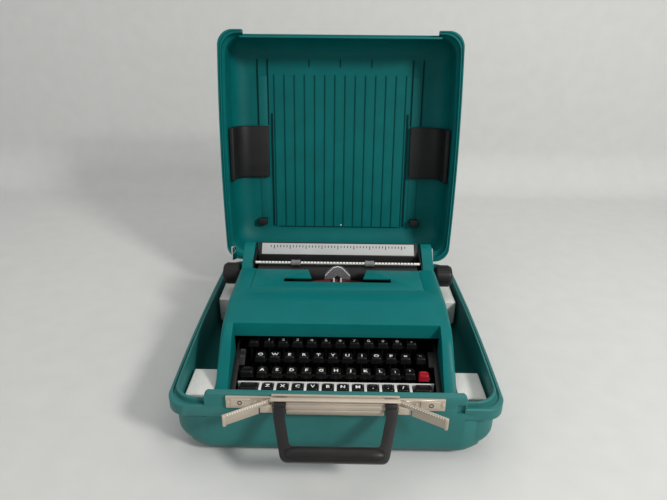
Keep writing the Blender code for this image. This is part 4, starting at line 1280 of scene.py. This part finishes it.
@dataclass
class Interior:
    """Dark working parts seen through the openings."""

    bench: Bench
    plain: tuple[tuple[str, Finish, str], ...] = (
        ("base_pan", LINER_BLACK, "black_plastic"),
        ("chassis", DARK_STEEL_AND_HOLE_SHADE, "steel"),
        ("mainspring_drum", DARK_STEEL_AND_HOLE_SHADE, "steel"),
        ("bearing_truck", TYPE_STEEL, "steel"),
        ("typebar", TYPE_STEEL, "steel"),
        ("ribbon_vibrator", ZINC, "zinc"),
        ("ribbon_spool_left", MOULDED_BLACK, "black_plastic"),
        ("ribbon_spool_right", MOULDED_BLACK, "black_plastic"),
    )

    def build(self) -> None:
        """Dress the frame, the type action and the ribbon gear."""
        for node, finish, slot in self.plain:
            self.bench.from_node(node, f"{node}_part", self.bench.body(node), finish, slot, (0.25, 2))
        self.bench.paint_node("typebar_basket", TYPE_STEEL)
        self.bell()
        self.ribbon()
        self.card_holder()

    def bell(self) -> None:
        """The margin bell, a spun cup with a screw on top."""
        cup = turned(
            (92.0, 108.0),
            [
                (50.0, 19.2), (50.0, 20.0), (54.0, 19.9), (60.0, 18.6), (64.5, 15.2), (67.4, 9.5),
                (68.4, 4.0), (69.0, 3.6), (69.0, 1.2),
            ],
            "Z",
            48,
        )
        self.bench.make("bell_cup", cup, "case", CHROME, "chrome", replaces=["bell"])

    def ribbon(self) -> None:
        """Inked ribbon from spool to spool, red below and black above."""
        path = rounded(
            [(-75.0, 33.6), (-34.0, 57.0), (-12.0, 62.4), (12.0, 62.4), (34.0, 57.0), (75.0, 33.6)],
            [0.0, 14.0, 10.0, 10.0, 14.0, 0.0],
            5,
        )
        band = path + [(a, b + 0.45) for a, b in reversed(path)]
        body = self.bench.body("ribbon")
        self.bench.make(
            "ribbon_red_half", along_axis(band, (99.0, 111.0), "Z"), body, RIBBON_RED, "ribbon_fabric",
            replaces=["ribbon"],
        )
        self.bench.make(
            "ribbon_black_half", along_axis(band, (111.0, 111.7), "Z"), body, RIBBON_BLACK,
            "ribbon_fabric",
        )

    def card_holder(self) -> None:
        """Clear card holder, with a pale line along its arched edge that is a painted highlight."""
        half = [(4.5, 98.0), (19.0, 98.0), (20.0, 118.0), (15.0, 125.0), (8.0, 131.5)]
        wing = rounded(
            [*half, (0.0, 133.6), *mirrored(half), (-4.5, 114.0), (0.0, 117.0), (4.5, 114.0)],
            [1.0, 1.0, 4.0, 5.0, 6.0, 6.0, 6.0, 5.0, 4.0, 1.0, 1.0, 2.0, 2.0, 2.0],
            4,
        )
        self.bench.make(
            "card_holder_plate", along_axis(wing, (64.6, 65.4), "Y"), self.bench.body("card_holder"),
            CLEAR, "clear_plastic", replaces=["card_holder"],
        )
        tent = [(-19.0, 117.0), (-6.5, 131.0), (0.0, 133.0), (6.5, 131.0), (19.0, 117.0)]
        line = rounded(
            tent + [(a, b - 1.3) for a, b in reversed(tent)],
            [0.3, 5.0, 5.0, 5.0, 0.3, 0.3, 5.0, 5.0, 5.0, 0.3],
            3,
        )
        # Painted highlight: the pale line stands for light caught along the clear plate's arched edge.
        self.bench.make(
            "card_holder_edge", along_axis(line, (64.2, 64.6), "Y"), self.bench.body("card_holder"),
            LEGEND_AND_HIGHLIGHT_WHITE, "clear_plastic",
        )


@dataclass(frozen=True)
class KeyRow:
    """One row of letter keys."""

    node: str
    index: int
    first_x: float
    legends: str


@dataclass
class Keyboard:
    """Dished key caps on steel levers, with moulded-in legends."""

    bench: Bench
    pitch: float = 19.0
    cap: float = 14.5
    pivot: Point2 = (66.0, 37.0)
    first_row: Point2 = (-129.0, 59.0)
    row_step: Point2 = (20.0, 9.7)
    dish: float = 0.9
    cap_height: float = 8.0
    rows: tuple[KeyRow, ...] = (
        KeyRow("key_row_bottom", 0, -86.07, "ZXCVBNM,./"),
        KeyRow("key_row_home", 1, -95.0, "ASDFGHJKL;'"),
        KeyRow("key_row_upper", 2, -99.294, "QWERTYUIOP="),
        KeyRow("key_row_number", 3, -90.003, "1234567890-"),
    )

    def build(self) -> None:
        """Make every key, then the panel and comb round them."""
        for row in self.rows:
            self.row(row)
        self.space_bar()
        self.shifts()
        y, z = self.first_row
        dy, dz = self.row_step
        self.single(
            "shift_lock", -114.6, y + dy, (17.0, 13.5), z + dz, -121.0, KEY_BLACK, "key_plastic", ""
        )
        self.single("tab_key", 112.7, -111.2, (14.0, 12.0), 67.4, 121.6, KEY_RED, "red_plastic", "")
        self.single(
            "backspace_key", 111.0, y + 2 * dy, (13.5, 14.5), z + 2 * dz, 114.2, KEY_BLACK, "key_plastic",
            "←",
        )
        self.single(
            "margin_release", -110.4, y + 3 * dy, (14.5, 14.5), z + 3 * dz, -114.4, KEY_BLACK,
            "key_plastic", "",
        )
        self.bench.from_node(
            "keyboard_panel", "keyboard_surround", "case", MOULDED_BLACK, "black_plastic", (0.5, 2)
        )
        self.bench.from_node("key_comb", "key_comb_plate", "case", ZINC, "zinc", (0.2, 2))
        self.marks()
        self.teeth()

    def cap_mesh(self, wide: float, deep: float, dish: float) -> bmesh.types.BMesh:
        """A key cap with its top at the origin: skirt, rounded shoulder and dished top."""
        height = self.cap_height
        steps = (
            (-height, 0.0, 1.6), (-height * 0.6, 0.25, 1.8), (-2.4, 0.7, 2.3), (-1.0, 0.95, 2.6),
            (-0.3, 1.35, 2.7), (0.0, 1.9, 2.6),
        )
        rings = stacked((wide / 2, deep / 2), steps)
        top = rings[-1]
        for share in (0.82, 0.6, 0.36, 0.12):
            rings.append([(x * share, y * share, -dish * (1 - share**2)) for x, y, _ in top])
        return loft(rings)

    def lever(
        self, x: float, y: float, top: float, level: float = 41.0, stem: Span = (-2.0, 2.0)
    ) -> bmesh.types.BMesh:
        """Stem under a key and the arm that runs back to the pivot."""
        back, axle = self.pivot
        front, rear = y + stem[0], y + stem[1]
        outline = [
            (front, top), (front, level - 6.0), (back, axle - 3.0), (back, axle + 3.0), (rear, level),
            (rear, top),
        ]
        return along_axis(outline, (x - 0.6, x + 0.6), "X")

    def legend(
        self,
        name: str,
        marks: Sequence[tuple[str, float, float, float]],
        body: str,
        size: float = 7.4,
    ) -> None:
        """Characters inlaid in the key tops.

        Args:
            name: Name of the piece.
            marks: For each, the character and its place in mm, the last being the top of the cap.
            body: Body that the legends move with.
            size: Height of the type, in mm.
        """
        whole = bmesh.new()
        reach = self.cap / 2 - 1.9
        for letter, x, y, z in marks:
            curve = bpy.data.curves.new("letter", "FONT")
            curve.body, curve.size, curve.align_x, curve.align_y = letter, size, "CENTER", "CENTER"
            curve.extrude, curve.offset, curve.resolution_u = 0.03, 0.16, 3
            holder = bpy.data.objects.new("letter", curve)
            bpy.context.scene.collection.objects.link(holder)
            bpy.context.view_layer.update()
            data = bpy.data.meshes.new_from_object(
                holder.evaluated_get(bpy.context.evaluated_depsgraph_get())
            )
            for vertex in data.vertices:
                a, b, lift = vertex.co
                sink = self.dish * (1 - min(1.0, (a * a + b * b) / (reach * reach)))
                vertex.co = (x + a * 1.15, y + b * 0.95, z - sink + lift + 0.06)
            whole.from_mesh(data)
            bpy.data.objects.remove(holder)
            bpy.data.curves.remove(curve)
            bpy.data.meshes.remove(data)
        bmesh.ops.remove_doubles(whole, verts=whole.verts, dist=0.0005)
        self.bench.make(name, whole, body, LEGEND_AND_HIGHLIGHT_WHITE, "key_plastic", smooth=30.0)

    def row(self, row: KeyRow) -> None:
        """One row: caps and levers set out by the pitch, a cross bar and the legends."""
        y = self.first_row[0] + row.index * self.row_step[0]
        top = self.first_row[1] + row.index * self.row_step[1]
        count, body = len(row.legends), row.node
        caps = Repeat(f"{row.node}_caps", self.cap_mesh(self.cap, self.cap, self.dish), KEY_BLACK)
        obj = caps.in_line((row.first_x, y, top), (self.pitch, 0.0, 0.0), count)
        self.bench.put(obj, body, KEY_BLACK, "key_plastic", [row.node])
        levers = Repeat(
            f"{row.node}_lever_set", self.lever(0.0, y, top - 8.6, stem=(0.2, 2.4)), DARK_STEEL_AND_HOLE_SHADE
        )
        obj = levers.in_line((row.first_x, 0.0, 0.0), (self.pitch, 0.0, 0.0), count)
        self.bench.put(
            obj, self.bench.body(f"{row.node}_levers"), DARK_STEEL_AND_HOLE_SHADE, "steel", [f"{row.node}_levers"]
        )
        ends = (row.first_x - 3.0, row.first_x + (count - 1) * self.pitch + 3.0)
        for part, run, rise in (
            ("cap_bar", (y - 2.4, y - 0.2), (-11.2, -7.6)),
            ("lever_bar", (y + 0.2, y + 2.4), (-11.2, -8.3)),
        ):
            bar = slab(ends, run, (top + rise[0], top + rise[1]))
            self.bench.make(f"{row.node}_{part}", bar, body, DARK_STEEL_AND_HOLE_SHADE, "steel", bevel=(0.3, 2))
        marks = [(letter, row.first_x + i * self.pitch, y, top) for i, letter in enumerate(row.legends)]
        self.legend(f"{row.node}_legends", marks, body)

    def space_bar(self) -> None:
        """The long bar, crowned along its top."""
        y, top = self.first_row[0] - self.row_step[0], self.first_row[1] - self.row_step[1]
        steps = (
            (-8.0, 0.0, 1.6), (-4.0, 0.5, 1.8), (-2.4, 1.0, 2.2), (-1.2, 1.8, 2.6), (-0.5, 2.7, 2.6),
            (-0.1, 3.9, 2.4),
        )
        rings = stacked((62.7, 6.5), steps, (0.0, y, top))
        rings.append([(px * 0.98, y + (py - y) * 0.4, top) for px, py, _ in rings[-1]])
        self.bench.make(
            "space_bar_cap", loft(rings), "space_bar", KEY_BLACK, "key_plastic", replaces=["space_bar"]
        )
        arms = merged(*[self.lever(x, y, top - 7.0, 31.5) for x in (-45.106, 49.894)])
        self.bench.make("space_bar_levers", arms, "space_bar", DARK_STEEL_AND_HOLE_SHADE, "steel")

    def shifts(self) -> None:
        """Two shift keys joined by one shaft."""
        y, top = self.first_row
        for side, x, wide in (("left", -109.6, 25.0), ("right", 110.6, 22.0)):
            cap = self.cap_mesh(wide, self.cap, 0.7)
            bmesh.ops.translate(cap, vec=(x, y, top), verts=cap.verts)
            self.bench.make(f"shift_cap_{side}", cap, "shift_keys", KEY_BLACK, "key_plastic")
        back, axle = self.pivot
        shaft = turned(
            (back + 5.0, axle), [(-124.0, 2.0), (-123.5, 2.5), (123.5, 2.5), (124.0, 2.0)], "X", 24
        )
        parts = [shaft]
        for s in (-1, 1):
            parts.append(self.lever(s * 118.0, y, top - 7.0))
            parts.append(slab((s * 118.6, s * 117.4), (back - 6.0, back + 5.0), (axle - 1.4, axle + 1.4)))
        self.bench.make(
            "shift_shaft", merged(*parts), "shift_keys", DARK_STEEL_AND_HOLE_SHADE, "steel", replaces=["shift_keys"]
        )

    def single(
        self, node: str, x: float, y: float, size: Point2, top: float, lever_x: float, finish: Finish,
        slot: str, mark: str,
    ) -> None:
        """A key on its own lever."""
        cap = self.cap_mesh(size[0], size[1], 0.7)
        bmesh.ops.translate(cap, vec=(x, y, top), verts=cap.verts)
        self.bench.make(f"{node}_cap", cap, node, finish, slot, replaces=[node])
        edge = lever_x + math.copysign(0.6, lever_x - x)
        reach = slab((min(x, edge), max(x, edge)), (y - 2.4, y + 2.4), (top - 11.0, top - 7.6))
        self.bench.make(
            f"{node}_lever", merged(reach, self.lever(lever_x, y, top - 8.0)), node, DARK_STEEL_AND_HOLE_SHADE, "steel"
        )
        if mark:
            self.legend(f"{node}_legend", [(mark, x, y, top)], node, 7.0)

    def teeth(self) -> None:
        """Bright zinc guide teeth standing between the keys of the bottom row."""
        row, (y, z) = self.rows[0], self.first_row
        tooth = slab((-1.7, 1.7), (y - 8.0, y + 8.6), (z - 6.0, z - 1.6))
        teeth = Repeat("guide_teeth", tooth, ZINC).in_line(
            (row.first_x - self.pitch / 2, 0.0, 0.0), (self.pitch, 0.0, 0.0), len(row.legends) + 1
        )
        self.bench.put(edge_softened(teeth, 0.4, 2), "case", ZINC, "zinc")

    def marks(self) -> None:
        """Two small moulded marks on the panel beside the left-hand keys."""
        y, z = self.first_row
        slope = self.row_step[1] / self.row_step[0]
        strokes = []
        for y_at in (-88.0, -79.5):
            level = z + (y_at - y) * slope - 6.0
            for x, wide, deep in ((-125.6, 0.7, 4.0), (-123.6, 3.2, 0.7), (-121.8, 0.7, 4.0)):
                strokes.append(
                    slab(
                        (x - wide / 2, x + wide / 2),
                        (y_at - deep / 2, y_at + deep / 2),
                        (level - 1.2, level + 1.1),
                    )
                )
        self.bench.make("panel_marks", merged(*strokes), "case", LEGEND_GREY, "black_plastic")


@dataclass
class Carriage:
    """Platen, knobs, bail, scale, paper table, end covers and levers."""

    bench: Bench
    platen_y: float = 84.0
    platen_z: float = 109.0
    radius: float = 17.0
    platen_half: float = 124.0
    base: float = 88.4
    inner: float = 132.0
    outer: float = 149.0
    bail_gap: float = 4.87

    @property
    def bail(self) -> Point2:
        """Centre of the bail's bar, in front of the top of the platen."""
        return self.platen_y - 4.0, self.platen_z + math.sqrt((self.radius + self.bail_gap) ** 2 - 16.0)

    def build(self) -> None:
        """Make every piece of the carriage."""
        self.bench.from_node("carriage_frame", "carriage_tray", "carriage", DARK_STEEL_AND_HOLE_SHADE, "steel", (0.3, 2))
        self.platen()
        self.ends()
        self.bail_parts()
        self.scale()
        self.levers()

    def platen(self) -> None:
        """Rubber roller on its shaft, with a fluted knob at each end."""
        centre, half = (self.platen_y, self.platen_z), self.platen_half
        roller = turned(
            centre, [(-half, 16.0), (-half + 0.6, 17.0), (half - 0.6, 17.0), (half, 16.0)], "X", 96
        )
        self.bench.make(
            "platen_roller", roller, "platen", PLATEN_RUBBER, "platen_rubber", replaces=["platen"]
        )
        shaft = turned(centre, [(-self.outer - 3.2, 4.0), (self.outer + 3.2, 4.0)], "X", 32)
        self.bench.make("platen_shaft", shaft, "platen", CHROME, "chrome")
        for side, s in SIDES:
            face = self.outer + 29.5
            profile = [
                (self.outer + 3.6, 4.2), (self.outer + 3.6, 13.2), (self.outer + 4.4, 14.4),
                (self.outer + 6.0, 16.1), (face - 6.0, 16.1),
                (face - 3.4, 15.9), (face - 1.2, 14.9), (face - 0.2, 13.4), (face, 11.8),
                (face - 0.8, 10.6), (face - 1.2, 3.0),
            ]
            knob = turned(centre, [(s * x, r) for x, r in profile], "X", 72)
            self.bench.make(
                f"knob_{side}", knob, "platen", MOULDED_BLACK, "black_plastic",
                replaces=[f"platen_knob_{side}"], smooth=45.0,
            )
            a, b = self.outer + 5.6, face - 3.6
            flute = loft(
                [
                    [(s * x, y, z) for y, z in ((-0.8, -1.2), (0.8, -1.2), (0.45, t), (-0.45, t))]
                    for x, t in ((a, -0.6), (a + 1.2, 0.5), (b - 1.2, 0.5), (b, -0.6))
                ]
            )
            flutes = Repeat(f"knob_{side}_flutes", flute, MOULDED_BLACK).round_axis_x(
                (0.0, *centre), 16.45, 36
            )
            self.bench.put(flutes, "platen", MOULDED_BLACK, "black_plastic")

    def ends(self) -> None:
        """The moulded end covers, bored for the shaft."""
        corners = [
            (66.5, self.base), (66.5, 113.0), (78.0, 126.5), (94.0, 134.5), (107.0, 143.6),
            (120.0, 147.0), (130.0, 143.6), (132.0, 134.0), (132.0, self.base),
        ]
        outline = rounded(corners, [1.0, 12.0, 30.0, 40.0, 30.0, 12.0, 8.0, 20.0, 1.0], 6)
        for side, s in SIDES:
            end = raw_object(
                f"carriage_cover_{side}", along_axis(outline, (s * self.inner, s * self.outer), "X")
            )
            combine(
                end,
                "DIFFERENCE",
                turned((self.platen_y, self.platen_z), [(s * 120.0, 5.0), (s * 160.0, 5.0)], "X", 40),
            )
            edge_softened(end, 1.8, 4, 40.0)
            self.bench.put(end, "carriage", BODY_TEAL, "body_plastic", [f"carriage_end_{side}"], 42.0)

    def bail_parts(self) -> None:
        """The bail's bar with engraved ticks, its two arms and the rubber rollers."""
        y, z = self.bail
        bar = turned((y, z), [(-129.2, 1.5), (-128.8, 2.0), (128.8, 2.0), (129.2, 1.5)], "X", 32)
        # The bar's pale colour is a painted reflection on chrome.
        self.bench.make("bail_bar", bar, "bail", BAIL_CHROME_PAINTED_SHEEN, "chrome", replaces=["paper_bail"])
        arm = rounded(
            [(y - 2.8, z - 2.8), (y - 2.8, z + 2.8), (110.6, 141.2), (115.4, 138.4), (112.0, 134.6)],
            [2.6, 2.6, 2.4, 2.4, 2.4],
            5,
        )
        for side, s in SIDES:
            self.bench.make(
                f"bail_arm_{side}", along_axis(arm, (s * 127.6, s * 129.4), "X"), "bail", DARK_STEEL_AND_HOLE_SHADE,
                "steel", bevel=(0.3, 2),
            )
        tick = slab((-0.55, 0.55), (-1.2, 1.2), (-0.25, 0.08))
        bmesh.ops.rotate(tick, verts=tick.verts, matrix=Matrix.Rotation(math.radians(50.0), 3, "X"))
        lean = math.radians(40.0)
        start = (-117.5, y - 2.0 * math.sin(lean), z + 2.0 * math.cos(lean))
        ticks = Repeat("bail_ticks", tick, SCALE_INK).in_line(start, (5.0, 0.0, 0.0), 48)
        self.bench.put(ticks, "bail", SCALE_INK, "chrome")
        for side, x in (("left", -65.0), ("right", 49.5)):
            profile = [
                (x - 7.0, 2.3), (x - 7.0, 4.1), (x - 6.6, 4.6), (x - 2.6, 4.6), (x - 2.2, 4.3),
                (x + 2.2, 4.3), (x + 2.6, 4.6), (x + 6.6, 4.6), (x + 7.0, 4.1), (x + 7.0, 2.3),
            ]
            name = f"bail_roller_{side}"
            self.bench.make(
                f"{name}_tyre", turned((y, z), profile, "X", 40), name, ROLLER_RUBBER, "platen_rubber",
                replaces=[name], smooth=30.0,
            )

    def scale(self) -> None:
        """The white margin scale with its ticks, on the dark paper table."""
        low, high = Vector((104.0, 133.5)), Vector((116.0, 147.3))
        plate = [tuple(low), (103.0, 134.4), (115.0, 148.2), tuple(high)]
        self.bench.make(
            "margin_scale_plate", along_axis(plate, (-121.0, 121.0), "X"), "carriage", SCALE_WHITE,
            "scale_white", replaces=["margin_scale"], bevel=(0.25, 2),
        )
        slope = math.atan2(13.8, 12.0)
        for name, share, length, step, count in (
            ("scale_ticks", 0.72, 3.6, 5.08, 43), ("scale_tens", 0.66, 6.0, 25.4, 9)
        ):
            tick = slab((-0.6, 0.6), (-length / 2, length / 2), (-0.05, 0.07))
            bmesh.ops.rotate(tick, verts=tick.verts, matrix=Matrix.Rotation(slope, 3, "X"))
            start = (-(count - 1) * step / 2, 103.0 + 12.0 * share, 134.4 + 13.8 * share)
            obj = Repeat(name, tick, SCALE_INK).in_line(start, (step, 0.0, 0.0), count)
            self.bench.put(obj, "carriage", SCALE_INK, "scale_white")
        self.bench.from_node(
            "paper_table", "paper_table_plate", "carriage", MOULDED_BLACK, "black_plastic", (0.4, 2)
        )

    def levers(self) -> None:
        """The return lever and the carriage release."""
        self.bench.from_node(
            "return_lever", "return_lever_arm", "return_lever", CHROME, "chrome", (0.7, 3)
        )
        self.bench.from_node(
            "carriage_release", "carriage_release_tab", "carriage_release", CHROME, "chrome", (0.5, 3)
        )


# --- Stage --------------------------------------------------------------------------------------
@dataclass
class Studio:
    """Pale table and wall, soft lights and the camera."""

    lens: float = 29.36
    place: Point3 = (0.0016128, -0.682864, 0.49601)
    pitch: float = 24.21
    heading: float = 0.62
    roll: float = 0.51

    def build(self) -> None:
        """Make the floor, lights and camera."""
        self.floor()
        self.lights()
        self.camera()

    def floor(self) -> None:
        """One pale sheet that curves up into a wall."""
        wall, bend = 900.0, 120.0
        arc = [
            (wall - bend + bend * math.sin(a), bend - bend * math.cos(a))
            for a in (math.pi / 2 * k / 12 for k in range(13))
        ]
        line = [(-1600.0, 0.0), *arc, (wall, 2600.0)]
        mesh = bmesh.new()
        rows = [[mesh.verts.new((x, y, z)) for y, z in line] for x in (-3000.0, 3000.0)]
        for i in range(len(line) - 1):
            mesh.faces.new((rows[0][i], rows[1][i], rows[1][i + 1], rows[0][i + 1]))
        bmesh.ops.scale(mesh, vec=(MM, MM, MM), verts=mesh.verts)
        sheet = linked("backdrop", mesh)
        sheet.data.shade_smooth()
        sheet.data.materials.append(BACKDROP_PAINT.material())

    def lights(self) -> None:
        """A soft key light from the front right, a weak fill, and pale surroundings."""
        world = bpy.data.worlds.new("studio")
        world.use_nodes = True
        world.node_tree.nodes["Background"].inputs["Color"].default_value = (0.93, 0.96, 1.0, 1.0)
        world.node_tree.nodes["Background"].inputs["Strength"].default_value = 0.42
        bpy.context.scene.world = world
        for name, place, aim, size, power in (
            ("key", (1.35, -1.25, 1.35), (0.0, -0.05, 0.1), 0.35, 34.0),
            ("fill", (-1.3, -1.0, 1.1), (0.0, 0.0, 0.1), 1.4, 4.0),
            ("wall_wash", (0.0, 0.3, 1.9), (0.0, 0.9, 0.5), 1.6, 10.0),
        ):
            light = bpy.data.lights.new(name, "AREA")
            light.size, light.energy, light.color = size, power, (1.0, 0.98, 0.95)
            lamp = bpy.data.objects.new(name, light)
            lamp.location = place
            lamp.rotation_euler = (Vector(aim) - Vector(place)).to_track_quat("-Z", "Y").to_euler()
            lamp.visible_camera = False
            bpy.context.scene.collection.objects.link(lamp)

    def camera(self) -> None:
        """The camera, a little above the machine and looking down on it."""
        data = bpy.data.cameras.new("camera")
        data.lens, data.sensor_width = self.lens, 36.0
        obj = bpy.data.objects.new("camera", data)
        turn = Matrix.Rotation(math.radians(self.heading), 4, "Z") @ Matrix.Rotation(
            math.radians(90.0 - self.pitch), 4, "X"
        )
        turn @= Matrix.Rotation(math.radians(self.roll), 4, "Z")
        obj.matrix_world = Matrix.Translation(self.place) @ turn
        bpy.context.scene.collection.objects.link(obj)
        bpy.context.scene.camera = obj
        bpy.context.scene.view_settings.view_transform = "Standard"


def corners(box: Iterable[Vector]) -> list[list[float]]:
    """A box as plain lists of numbers."""
    return [[float(v) for v in corner] for corner in box]


def main() -> None:
    """Build every sub-assembly in order and log how many pieces were made."""
    logging.basicConfig(level=logging.INFO, format="%(name)s: %(message)s")
    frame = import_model()
    bench, form = Bench(frame), CaseForm()
    Studio().build()
    CaseBase(form, bench).build()
    Lid(form, bench).build()
    FrontHardware(form, bench).build()
    MachineBody(bench).build()
    Interior(bench).build()
    Keyboard(bench).build()
    Carriage(bench).build()
    LOG.info("%d pieces in all", bench.count)


if __name__ == "__main__":
    main()
